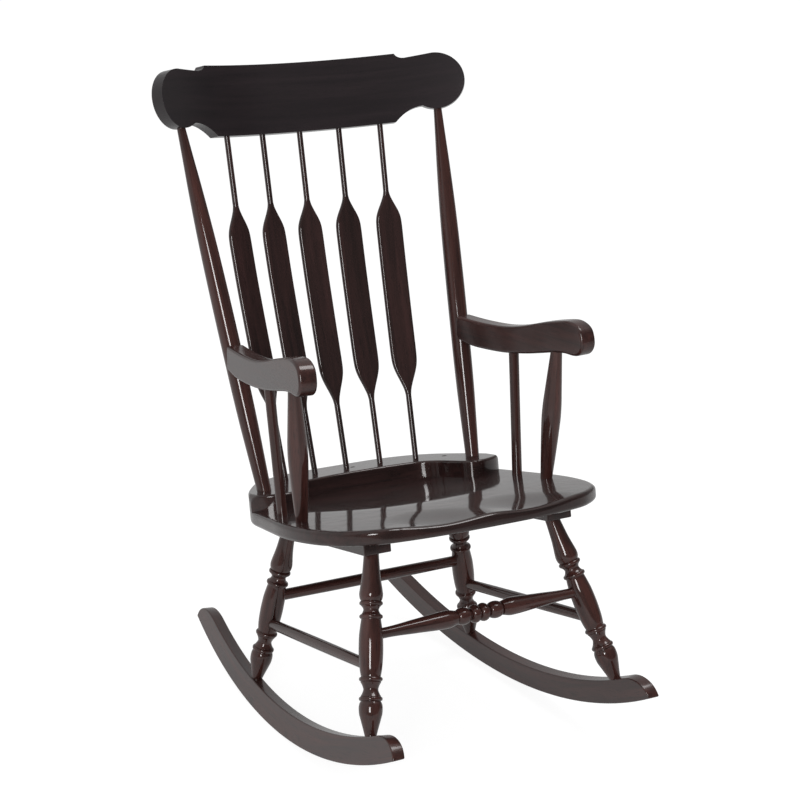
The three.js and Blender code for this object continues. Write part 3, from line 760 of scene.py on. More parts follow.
@dataclass(frozen=True)
class PlatedSteel:
    """Dull plated steel of the screws, with darker spots."""

    name: str = "plated_steel"
    slot: Slot = Slot.STEEL
    colour: Colour = (0.17, 0.155, 0.14)
    stained: Colour = (0.06, 0.05, 0.045)
    spot_scale: float = 900.0
    spot_detail: float = 4.0
    spot_span: Span = (0.35, 0.6)
    spot_bump: Span = (0.1, 0.0002)
    roughness: Span = (0.3, 0.55)
    metallic: float = 0.9

    def make(self) -> bpy.types.Material:
        """Makes the material.

        Returns:
            The steel as a node material on Object coordinates.
        """
        material = bpy.data.materials.new(self.name)
        board = NodeBoard(material)
        place = board.add("TexCoord", {}).outputs["Object"]
        spots = board.noise(place, self.spot_scale, self.spot_detail)
        board.feed(board.nodes["Principled BSDF"], {
            "Base Color": board.ramp(spots, self.spot_span, (self.stained, self.colour)),
            "Metallic": self.metallic,
            "Roughness": board.span(spots, (0.0, 1.0), self.roughness),
            "Normal": board.bump(spots, *self.spot_bump),
        })
        return material


class Finishes:
    """All finishes of the chair, each made once."""

    recipes: dict[Finish, LacqueredWood | PlatedSteel] = {
        Finish.BOARD: LacqueredWood(
            "espresso_board", Slot.WOOD,
            deep=(0.009, 0.0042, 0.0042), warm=(0.032, 0.013, 0.0125), pore=(0.005, 0.0023, 0.0023),
        ),
        Finish.SAWN: LacqueredWood(
            "espresso_sawn", Slot.WOOD,
            deep=(0.018, 0.0065, 0.006), warm=(0.055, 0.018, 0.015), pore=(0.008, 0.003, 0.003),
            coat_roughness=0.18,
        ),
        Finish.TURNED: LacqueredWood(
            "espresso_turned", Slot.WOOD,
            deep=(0.022, 0.0076, 0.0064), warm=(0.068, 0.0215, 0.017), pore=(0.009, 0.0033, 0.003),
        ),
        Finish.CREST: LacqueredWood(
            "near_black_wood", Slot.CREST,
            deep=(0.006, 0.0036, 0.0048), warm=(0.013, 0.0078, 0.0095), pore=(0.004, 0.0028, 0.0034),
            sheen=(1.0, 0.85, 0.9),
        ),
        Finish.STEEL: PlatedSteel(),
    }

    def __init__(self) -> None:
        """Makes the materials."""
        self.made = {finish: recipe.make() for finish, recipe in self.recipes.items()}

    def dress(self, piece: bpy.types.Object, finish: Finish) -> None:
        """Gives a new piece its finish.

        Args:
            piece: The piece.
            finish: What it is finished with.
        """
        piece.data.materials.clear()
        piece.data.materials.append(self.made[finish])


@dataclass
class ChairPlace:
    """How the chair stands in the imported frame: rolled back on its runners to where it balances."""

    roll_length: float = 0.042
    shift: tuple[float, float, float] = (0.0, -0.0036376, 0.0009512)

    def matrix(self) -> Matrix:
        """Turns places in the chair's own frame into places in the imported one."""
        roll = Matrix.Rotation(-self.roll_length / BEND_RADIUS, 4, "X")
        return Matrix.Translation(self.shift) @ roll


@dataclass
class Workshop:
    """What every sub-assembly needs: the finishes and the chair's place."""

    finishes: Finishes
    chair: Matrix

    def install(self, piece: bpy.types.Object, node: str, finish: Finish, where: Matrix = Matrix()) -> None:
        """Places a finished piece in the chair, dresses it and lets it stand for its CAD node.

        Args:
            piece: The piece, in its own frame.
            node: The CAD node that it stands for.
            finish: What it is finished with.
            where: Where the piece stands in the chair's own frame.
        """
        Bench.place(piece, self.chair @ where)
        Bench.smooth(piece)
        self.finishes.dress(piece, finish)
        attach(piece, BODY)
        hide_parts(node)
        log.info("%s: %d faces", piece.name, len(piece.data.polygons))

    def turn(self, name: str, node: str, profile: Profile, start: Vector, end: Vector, sides: int = 40
             ) -> None:
        """Turns a piece and places it along its axis.

        Args:
            name: The piece's name.
            node: The CAD node that it stands for.
            profile: Heights over the start, and radii.
            start: Where the axis starts, in the chair's own frame.
            end: The point that it runs towards.
            sides: How many faces go round the piece.
        """
        piece = Bench.turned(name, profile, sides)
        Bench.mark_grain(piece)
        self.install(piece, node, Finish.TURNED, aimed(start, end))


@dataclass
class Runners:
    """The two bent runners. Their tops lean in and their rear ends run in."""

    shop: Workshop
    radius: float = BEND_RADIUS
    height: float = 0.0436
    thickness: float = 0.022
    half_spacing: float = 0.2392
    front_reach: float = 0.437
    rear_reach: float = 0.373
    nose_length: float = 0.049
    nose_drop: float = 0.039
    tail_length: float = 0.062
    tail_drop: float = 0.038
    lean_share: float = 0.156
    toe_in_share: float = 0.0577
    facet: float = 0.021
    corner_steps: int = 12
    edge: float = 0.0022

    @property
    def bend_centre(self) -> float:
        """The height of the bend's centre over the sole."""
        return self.radius * math.cos(self.facet / self.radius / 2)

    def point(self, depth: float, angle: float) -> Vector:
        """Finds a place on the runner's side, as (back, up)."""
        reach = self.radius - depth
        return Vector((reach * math.sin(angle), self.bend_centre - reach * math.cos(angle)))

    def angles(self) -> list[float]:
        """Finds where the flats of the sole meet.

        Returns:
            The angles round the bend's centre, from the front end to the rear one.
        """
        front = -math.asin(self.front_reach / self.radius)
        rear = math.asin(self.rear_reach / self.radius)
        turn = self.facet / self.radius
        steps = range(math.ceil(front / turn), math.ceil(rear / turn) + 1)
        inner = [(step + 0.5) * turn for step in steps]
        return [front, *(a for a in inner if front + turn / 2 < a < rear - turn / 2), rear]

    def corner(self, end: float, length: float, drop: float) -> list[Vector]:
        """Rounds an upper corner.

        Args:
            end: The angle of the runner's end.
            length: How far the corner reaches in from the end, below nought to reach towards the front.
            drop: How far it reaches down from the top.

        Returns:
            The corner's points as (back, up), from the runner's end to its top.
        """
        points = []
        for share in even(self.corner_steps):
            turn = math.pi / 2 * share
            depth = self.height - drop * (1 - math.sin(turn))
            inward = length * (1 - math.cos(turn))
            points.append(self.point(depth, end + inward / (self.radius - depth)))
        return points

    def outline(self) -> list[Vector]:
        """Draws the side of a runner.

        Returns:
            Its points as (back, up): along the sole to the rear, and back over the top.
        """
        angles = self.angles()
        front, rear = angles[0], angles[-1]
        top_radius = self.radius - self.height
        top_front = front + self.nose_length / top_radius
        top_rear = rear - self.tail_length / top_radius
        return [
            *(self.point(0, angle) for angle in angles),
            *self.corner(rear, -self.tail_length, self.tail_drop),
            *(self.point(self.height, a) for a in reversed(angles) if top_front < a < top_rear),
            *reversed(self.corner(front, self.nose_length, self.nose_drop)),
        ]

    def on(self, side: int, angle: float, depth: float, inward: float = 0.0) -> Vector:
        """Finds a place on a runner in the chair's own frame.

        Args:
            side: Which runner: -1 for the left one, 1 for the right one.
            angle: The place's angle round the bend's centre.
            depth: How far it lies over the sole.
            inward: How far it lies inwards of the runner's middle plane.

        Returns:
            The place.
        """
        spot = self.point(depth, angle)
        lean = inward + self.lean_share * spot.y + self.toe_in_share * spot.x
        return Vector((side * (self.half_spacing - lean), spot.x, spot.y))

    def leaned(self, point: Vector, side: int) -> Vector:
        """Leans a place of the upright board, with its sole kept level and its top square to its sides.

        Args:
            point: The place in the upright board.
            side: Which runner it belongs to.

        Returns:
            The place in the leaned board.
        """
        rise = (self.radius - math.hypot(point.y, self.bend_centre - point.z)) / self.height
        x = point.x - side * (self.lean_share * point.z + self.toe_in_share * point.y)
        return Vector((x, point.y, point.z + side * self.lean_share * point.x * rise))

    def grain(self, point: Vector) -> Vector:
        """Lets the grain follow the bend."""
        up = self.bend_centre - point.z
        return Vector((point.x, self.radius - math.hypot(point.y, up), self.radius * math.atan2(point.y, up)))

    def build(self) -> None:
        """Builds both runners."""
        outline = [Vector((-self.thickness / 2, p.x, p.y)) for p in self.outline()]
        for side, word in SIDES.items():
            piece = Bench.board(f"bent_runner_{word}", outline, Vector((self.thickness, 0, 0)), self.edge)
            Bench.mark_grain(piece, self.grain)
            Bench.shape(piece, lambda point: self.leaned(point, side))
            where = Matrix.Translation((side * self.half_spacing, 0, 0))
            self.shop.install(piece, f"runner_{word}", Finish.SAWN, where)


@dataclass(frozen=True)
class Hollow:
    """A smooth hollow in the seat's top, round its deepest place."""

    x: float
    y: float
    half_width: float
    front_half: float
    rear_half: float
    depth: float

    def depth_at(self, x: float, y: float) -> float:
        """Reads how deep the hollow is.

        Args:
            x: The place across the seat.
            y: The place back along it.

        Returns:
            The depth there, which is nought outside the hollow.
        """
        half_length = self.rear_half if y > self.y else self.front_half
        away = ((x - self.x) / self.half_width) ** 2 + ((y - self.y) / half_length) ** 2
        return self.depth * max(0.0, 1 - away) ** 2


@dataclass
class Seat:
    """The saddled seat board and what hangs square to it, in a frame whose z = 0 is the seat's top."""

    shop: Workshop
    height: float = 0.3893
    tilt: float = math.radians(9.5)
    half_width: float = 0.2795
    front_reach: float = 0.321
    rear_reach: float = 0.226
    thickness: float = 0.025
    edge: float = 0.0075
    edge_steps: int = 5
    outline_steps: int = 7
    slice_step: float = 0.008
    hollows: tuple[Hollow, ...] = (
        Hollow(0.0, 0.050, 0.230, 0.200, 0.100, 0.012),
        Hollow(0.085, -0.325, 0.105, 0.130, 0.130, 0.006),
        Hollow(-0.085, -0.325, 0.105, 0.130, 0.130, 0.006),
    )
    front_shares: Knots = (
        (0, -1), (0.3, -0.992), (0.5, -0.972), (0.68, -0.935), (0.795, -0.875), (0.893, -0.79), (0.945, -0.7),
        (0.979, -0.6), (1, -0.45), (0.996, -0.3), (0.967, -0.125),
    )
    rear_shares: Knots = (
        (0.938, 0.045), (0.909, 0.25), (0.862, 0.4), (0.79, 0.56), (0.67, 0.77), (0.535, 0.9), (0.37, 0.975),
        (0.18, 0.998), (0, 1),
    )

    @property
    def frame(self) -> Matrix:
        """The seat's frame in the chair's own one."""
        return Matrix.Translation((0, 0, self.height)) @ Matrix.Rotation(-self.tilt, 4, "X")

    def on(self, x: float, back: float, lift: float = 0.0) -> Vector:
        """Finds a place on or over the seat's top in the chair's own frame."""
        return self.frame @ Vector((x, back, lift))

    def half_outline(self) -> list[Vector]:
        """Draws the right half of the seat's outline.

        Returns:
            Its points, from the front to the rear.
        """
        front = [(x * self.half_width, y * self.front_reach) for x, y in self.front_shares]
        rear = [(x * self.half_width, y * self.rear_reach) for x, y in self.rear_shares]
        return spline([*front, *rear], self.outline_steps)

    def saddled(self, point: Vector) -> Vector:
        """Sinks a place of the flat board into the saddle, the less the nearer it is to the underside.

        Args:
            point: The place in the flat board.

        Returns:
            The place in the saddled board.
        """
        share = min(max((point.z + self.thickness) / self.thickness, 0.0), 1.0)
        depth = sum(hollow.depth_at(point.x, point.y) for hollow in self.hollows)
        return Vector((point.x, point.y, point.z - depth * share))

    def build(self) -> None:
        """Builds the seat board."""
        outline = [Vector((p.x, p.y, -self.thickness)) for p in mirrored(self.half_outline())]
        upward = Vector((0, 0, self.thickness))
        piece = Bench.board("saddled_seat", outline, upward, self.edge, self.edge_steps)
        Bench.slice(piece, 0, -self.half_width, self.half_width, self.slice_step)
        Bench.slice(piece, 1, -self.front_reach, self.rear_reach, self.slice_step)
        Bench.mark_grain(piece, grain_along_x)
        Bench.shape(piece, self.saddled)
        self.shop.install(piece, "seat", Finish.BOARD, self.frame)


@dataclass
class BackRail:
    """The raised rail along the back of the seat, with the holes of its three screws."""

    shop: Workshop
    seat: Seat
    height: float = 0.0272
    gap: float = 0.0003
    sink: float = 0.008
    wing_end: float = 0.068
    edge: float = 0.0045
    edge_steps: int = 5
    tip_roll: float = 0.012
    tip_share: float = 0.4
    tip_slice: float = 0.002
    front_steps: int = 4
    hole_radius: float = 0.0045
    hole_depth: float = 0.0075
    hole_sides: int = 24
    screws: Knots = ((-0.181, 0.1295), (0.012, 0.174), (0.181, 0.1295))
    front: Knots = (
        (0, 0.1275), (0.04, 0.1265), (0.071, 0.1235), (0.101, 0.1185), (0.115, 0.1145), (0.127, 0.1075),
        (0.138, 0.097), (0.147, 0.0845), (0.154, 0.07), (0.161, 0.055), (0.168, 0.04), (0.178, 0.029),
        (0.192, 0.0245), (0.207, 0.0255), (0.222, 0.031), (0.236, 0.0395), (0.2475, 0.0505), (0.2525, 0.059),
    )

    @property
    def top(self) -> float:
        """The height of the rail's top over the seat's."""
        return self.height + self.gap

    def half_outline(self) -> list[Vector]:
        """Draws the right half of the rail's outline."""
        outer = [point for point in self.seat.half_outline() if point.y > self.wing_end]
        return [*spline(self.front, self.front_steps), *outer]

    def rolled(self, point: Vector, reach: float) -> Vector:
        """Rolls a place near the rail's end down towards the seat.

        Args:
            point: The place in the rail.
            reach: How far the rail's ends lie from its middle.

        Returns:
            The rolled place.
        """
        past = max(0.0, abs(point.x) - (reach - self.tip_roll)) / self.tip_roll
        share = self.tip_share + (1 - self.tip_share) * math.sqrt(max(0.0, 1 - past**2))
        return Vector((point.x, point.y, point.z * share if point.z > 0 else point.z))

    def build(self) -> None:
        """Builds the rail."""
        outline = [Vector((p.x, p.y, self.gap - self.sink)) for p in mirrored(self.half_outline())]
        upward = Vector((0, 0, self.height + self.sink))
        piece = Bench.board("back_riser", outline, upward, self.edge, self.edge_steps)
        for x, y in self.screws:
            bpy.ops.mesh.primitive_cylinder_add(
                vertices=self.hole_sides, radius=self.hole_radius, depth=self.hole_depth,
                location=(x, y, self.top),
            )
            Bench.cut(piece, bpy.context.object)
        reach = max(point.x for point in outline)
        for side in SIDES:
            start, end = sorted((side * reach, side * (reach - self.tip_roll)))
            Bench.slice(piece, 0, start + self.tip_slice / 2, end, self.tip_slice)
        Bench.shape(piece, lambda point: self.rolled(point, reach))
        Bench.mark_grain(piece, grain_along_x)
        self.shop.install(piece, "back_rail", Finish.BOARD, self.seat.frame)


@dataclass
class Cleats:
    """The two battens under the seat that the legs stand in."""

    shop: Workshop
    seat: Seat
    width: float = 0.050
    height: float = 0.0238
    front_overhang: float = 0.024
    rear_overhang: float = 0.025
    edge: float = 0.002
    gap: float = 0.0003
    front_reach: float = 0.2215
    front_half_spacing: float = 0.177
    rear_reach: float = 0.0865
    rear_half_spacing: float = 0.171

    @property
    def underside(self) -> float:
        """The height of the cleats' underside over the seat's top."""
        return -self.seat.thickness - self.gap - self.height

    def build(self) -> None:
        """Builds both cleats."""
        run = self.front_reach + self.rear_reach
        length = run + self.front_overhang + self.rear_overhang
        slant = math.atan2(self.front_half_spacing - self.rear_half_spacing, run)
        for side, word in SIDES.items():
            bpy.ops.object.select_all(action="DESELECT")
            middle = (0, length / 2 - self.front_overhang, self.height / 2)
            bpy.ops.mesh.primitive_cube_add(size=1, location=middle)
            piece = Bench.label(f"seat_batten_{word}")
            Bench.edit(piece)
            bpy.ops.transform.resize(value=(self.width, length, self.height))
            Bench.leave()
            Bench.settle()
            Bench.ease(piece, self.edge)
            Bench.mark_grain(piece, grain_along_y)
            where = Matrix.Translation((side * self.front_half_spacing, -self.front_reach, self.underside))
            where = self.seat.frame @ where @ Matrix.Rotation(side * slant, 4, "Z")
            self.shop.install(piece, f"cleat_{word}", Finish.BOARD, where)


@dataclass
class Legs:
    """The four turned legs, splayed from the cleats to the runners."""

    shop: Workshop
    seat: Seat
    cleats: Cleats
    runners: Runners
    radius: float = 0.020
    ring_half: float = 0.0034
    ring_neck_share: float = 0.83
    ring_crown_share: float = 0.965
    ring_shares: tuple[float, ...] = (0.2005, 0.307, 0.647, 0.72)
    runs: tuple[Knots, ...] = (
        ((0, 0.48), (0.039, 0.625), (0.092, 0.84), (0.125, 0.955), (0.15, 0.975), (0.174, 0.93),
         (0.186, 0.83)),
        ((0.2145, 0.84), (0.229, 0.715), (0.251, 0.61), (0.273, 0.70), (0.2905, 0.84)),
        ((0.3225, 0.805), (0.35, 0.885), (0.39, 0.95), (0.47, 1), (0.53, 0.985), (0.60, 0.88), (0.632, 0.81)),
        ((0.660, 0.80), (0.672, 0.69), (0.685, 0.635), (0.698, 0.71), (0.7065, 0.83)),
        ((0.7335, 0.84), (0.748, 0.94), (0.768, 0.975), (0.80, 0.92), (0.833, 0.84), (0.875, 0.755),
         (0.93, 0.685), (0.972, 0.64), (1, 0.62)),
    )
    run_steps: int = 22
    front_foot: float = 0.3345
    rear_foot: float = 0.1064
    foot_inset: float = 0.001
    seat_tenon: float = 0.012
    runner_tenon: float = 0.012

    def ends(self, front: bool, side: int) -> tuple[Vector, Vector]:
        """Finds both ends of a leg's axis.

        Args:
            front: Whether it is a front leg.
            side: Which side it stands on.

        Returns:
            Where the axis meets its runner's top, and its cleat's underside.
        """
        cleats = self.cleats
        reach = -self.front_foot if front else self.rear_foot
        angle = math.asin(reach / (self.runners.radius - self.runners.height))
        foot = self.runners.on(side, angle, self.runners.height, self.foot_inset)
        x = cleats.front_half_spacing if front else cleats.rear_half_spacing
        back = -cleats.front_reach if front else cleats.rear_reach
        return foot, self.seat.on(side * x, back, cleats.underside)

    def at(self, front: bool, side: int, share: float) -> Vector:
        """Finds a place on a leg's axis by its share of the way down from the cleat."""
        foot, top = self.ends(front, side)
        return top.lerp(foot, share)

    def profile(self, length: float) -> Profile:
        """Draws the turning of a leg.

        Args:
            length: The leg's length between its tenons.

        Returns:
            The heights and radii, with a ring between each two runs.
        """
        stations: Profile = []
        for run in self.runs:
            curve = smooth_curve(run)
            low, high = run[0][0], run[-1][0]
            places = [low + (high - low) * share for share in even(self.run_steps)]
            stations += [(place * length, curve(place) * self.radius) for place in places]
        neck, crown = self.ring_neck_share * self.radius, self.ring_crown_share * self.radius
        for share in self.ring_shares:
            stations += bead(share * length, self.ring_half, neck, crown)
        return sorted(stations)

    def build(self) -> None:
        """Builds the four legs."""
        for front, place in ((True, "front"), (False, "rear")):
            for side, word in SIDES.items():
                foot, top = self.ends(front, side)
                profile = tenoned(self.profile((top - foot).length), self.runner_tenon, self.seat_tenon)
                self.shop.turn(f"turned_leg_{place}_{word}", f"leg_{place}_{word}", profile, foot, top)


@dataclass
class Stretchers:
    """The turned front stretcher and the plain ones at the rear and the sides."""

    shop: Workshop
    legs: Legs
    front_share: float = 0.4565
    rear_share: float = 0.446
    side_share: float = 0.624
    end_inset: float = 0.006
    swell_shares: Knots = (
        (0, 0), (0.08, 0), (0.3, 0.72), (0.5, 1), (0.7, 0.72), (0.92, 0), (1, 0),
    )
    side_radii: Span = (0.0094, 0.0099)
    rear_radii: Span = (0.0099, 0.0104)
    end_radius: float = 0.0088
    vase_radius: float = 0.0152
    vase_lip_share: float = 0.78
    ball_radius: float = 0.0147
    ring_radius: float = 0.0155
    neck_radius: float = 0.0082
    ring_pitch: float = 0.017
    ball_place: float = 0.0315
    ball_half: float = 0.0125
    vase_start: float = 0.045
    vase_place: float = 0.062
    plain_end: float = 0.022
    ring_steps: int = 14
    ball_steps: int = 18
    stations: int = 40
    sides: int = 32

    def plain(self, length: float, radii: Span) -> Profile:
        """Draws a plain stretcher.

        Args:
            length: Its length.
            radii: Its radii at the ends and in the middle.

        Returns:
            The heights and radii.
        """
        curve = smooth_curve(self.swell_shares)
        low, high = radii
        return [(share * length, low + curve(share) * (high - low)) for share in even(self.stations)]

    def fancy(self, length: float) -> Profile:
        """Draws the front stretcher: two rings, a ball and a vase each way from its middle.

        Args:
            length: Its length.

        Returns:
            The heights and radii.
        """
        middle = length / 2
        ring_half = self.ring_pitch / 2
        vase_end = middle - self.plain_end
        vase = smooth_curve([
            (self.vase_start, self.vase_radius * self.vase_lip_share),
            (self.vase_place, self.vase_radius),
            ((self.vase_place + vase_end) / 2, (self.vase_radius + self.end_radius) / 2),
            (vase_end, self.end_radius),
            (middle, self.end_radius),
        ])
        places = [self.vase_start + (middle - self.vase_start) * share for share in even(self.stations)]
        half = [
            *bead(ring_half, ring_half, self.neck_radius, self.ring_radius, self.ring_steps),
            *bead(self.ball_place, self.ball_half, self.neck_radius, self.ball_radius, self.ball_steps),
            *((place, vase(place)) for place in places),
        ]
        lower = [(middle - place, radius) for place, radius in reversed(half[1:])]
        return [*lower, *((middle + place, radius) for place, radius in half)]

    def add(self, name: str, node: str, start: Vector, end: Vector, draw: Callable[[float], Profile]) -> None:
        """Builds one stretcher between the axes of two legs.

        Args:
            name: The piece's name.
            node: The CAD node that it stands for.
            start: Where it leaves the first leg's axis.
            end: Where it meets the second leg's axis.
            draw: Draws the turning of a given length.
        """
        low = along(start, end, self.end_inset)
        high = along(end, start, self.end_inset)
        self.shop.turn(name, node, draw((high - low).length), low, high, self.sides)

    def build(self) -> None:
        """Builds the four stretchers."""
        at = self.legs.at
        self.add("beaded_stretcher", "stretcher_front",
                 at(True, -1, self.front_share), at(True, 1, self.front_share), self.fancy)
        self.add("rear_stretcher", "stretcher_rear", at(False, -1, self.rear_share),
                 at(False, 1, self.rear_share), lambda length: self.plain(length, self.rear_radii))
        for side, word in SIDES.items():
            self.add(f"side_stretcher_{word}", f"stretcher_{word}", at(True, side, self.side_share),
                     at(False, side, self.side_share), lambda length: self.plain(length, self.side_radii))


@dataclass
class Crest:
    """The bent crest rail with its round ears, in a leaned frame at its lower edge's middle."""

    shop: Workshop
    height: float = 0.1252
    half_width: float = 0.3033
    thickness: float = 0.022
    bend_radius: float = 0.568
    lean: float = math.radians(15.2)
    front_place: float = 0.3355
    bottom_height: float = 0.9826
    panel_half: float = 0.1805
    top_half: float = 0.192
    ear_half_width: float = 0.0474
    ear_half_height: float = 0.0515
    ear_height: float = 0.0675
    ear_start: float = math.radians(-90)
    ear_end: float = math.radians(97)
    shoulder_drop: float = 0.0095
    shoulder_run_share: float = 1.8
    cove_height: float = 0.0245
    cove_half: float = 0.2305
    edge: float = 0.0032
    steps: int = 14
    ear_steps: int = 48
    slice_step: float = 0.008

    @property
    def frame(self) -> Matrix:
        """The crest's frame in the chair's own one."""
        place = Matrix.Translation((0, self.front_place, self.bottom_height))
        return place @ Matrix.Rotation(-self.lean, 4, "X")

    def inside(self, x: float, height: float) -> Vector:
        """Finds a place in the middle of the board's thickness, in the chair's own frame."""
        middle = self.bend_radius + self.thickness / 2
        return self.frame @ Vector((x, math.sqrt(middle**2 - x**2) - self.bend_radius, height))

    def half_outline(self) -> list[Vector]:
        """Draws the right half of the crest as it looks from the front.

        Returns:
            Its points as (across, up), from the lower edge's middle round to the upper one's.
        """
        ear_x = self.half_width - self.ear_half_width
        ear_bottom = self.ear_height - self.ear_half_height
        shoulder_top = self.height - self.shoulder_drop
        cove_start = Vector((self.panel_half, 0))
        cove_pull = Vector((self.panel_half + self.cove_height, self.cove_height))
        cove_end = Vector((self.cove_half, self.cove_height))
        ear_pull = Vector(((self.cove_half + ear_x) / 2, ear_bottom))
        ear_foot = Vector((ear_x, ear_bottom))
        shoulder_start = Vector((self.top_half + self.shoulder_drop * self.shoulder_run_share, shoulder_top))
        shoulder_pull = Vector((self.top_half + self.shoulder_drop / 2, shoulder_top))
        turns = [self.ear_start + (self.ear_end - self.ear_start) * share for share in even(self.ear_steps)]
        ear = [
            Vector((ear_x + self.ear_half_width * math.cos(turn),
                    self.ear_height + self.ear_half_height * math.sin(turn)))
            for turn in turns
        ]
        return [
            Vector((0, 0)),
            *swept(cove_start, cove_pull, cove_end, self.steps),
            *swept(cove_end, ear_pull, ear_foot, self.steps)[1:-1],
            *ear,
            *swept(shoulder_start, shoulder_pull, Vector((self.top_half, self.height)), self.steps),
            Vector((0, self.height)),
        ]

    def build(self) -> None:
        """Builds the crest: a flat board is cut to its outline, bent, and its edges are eased."""
        radius = self.bend_radius
        half = [Vector((radius * math.asin(p.x / radius), p.y)) for p in self.half_outline()]
        piece = Bench.plate("bent_crest", [Vector((p.x, 0, p.y)) for p in mirrored(half)])
        reach = max(p.x for p in half)
        Bench.slice(piece, 0, -reach, reach, self.slice_step)
        Bench.thicken(piece, Vector((0, self.thickness, 0)))
        Bench.mark_grain(piece, grain_along_x)
        Bench.bend(piece, radius)
        Bench.ease(piece, self.edge)
        self.shop.install(piece, "crest_rail", Finish.CREST, self.frame)


@dataclass
class BackPosts:
    """The two turned posts from the seat up into the crest's ears."""

    shop: Workshop
    seat: Seat
    rail: BackRail
    crest: Crest
    radius: float = 0.017
    half_spacing: float = 0.2132
    seat_place: float = 0.0834
    crest_inset: float = 0.0437
    shares: Knots = (
        (0, 0.73), (0.12, 0.87), (0.2, 0.955), (0.3, 0.995), (0.45, 1), (0.6, 0.965), (0.7, 0.9),
        (0.84, 0.72), (0.92, 0.575), (1, 0.44),
    )
    seat_tenon: float = 0.012
    crest_tenon: float = 0.012
    stations: int = 44

    def ends(self, side: int) -> tuple[Vector, Vector]:
        """Finds both ends of a post's axis.

        Args:
            side: Which side the post stands on.

        Returns:
            Where the axis leaves the rail, and where it meets the crest.
        """
        crest = self.crest
        foot = self.seat.on(side * self.half_spacing, self.seat_place, self.rail.top)
        ear_bottom = crest.ear_height - crest.ear_half_height
        return foot, crest.inside(side * (crest.half_width - self.crest_inset), ear_bottom)

    def build(self) -> None:
        """Builds both posts."""
        for side, word in SIDES.items():
            foot, top = self.ends(side)
            profile = turning(self.shares, (top - foot).length, self.radius, self.stations)
            profile = tenoned(profile, self.seat_tenon, self.crest_tenon)
            self.shop.turn(f"turned_back_post_{word}", f"back_post_{word}", profile, foot, top)


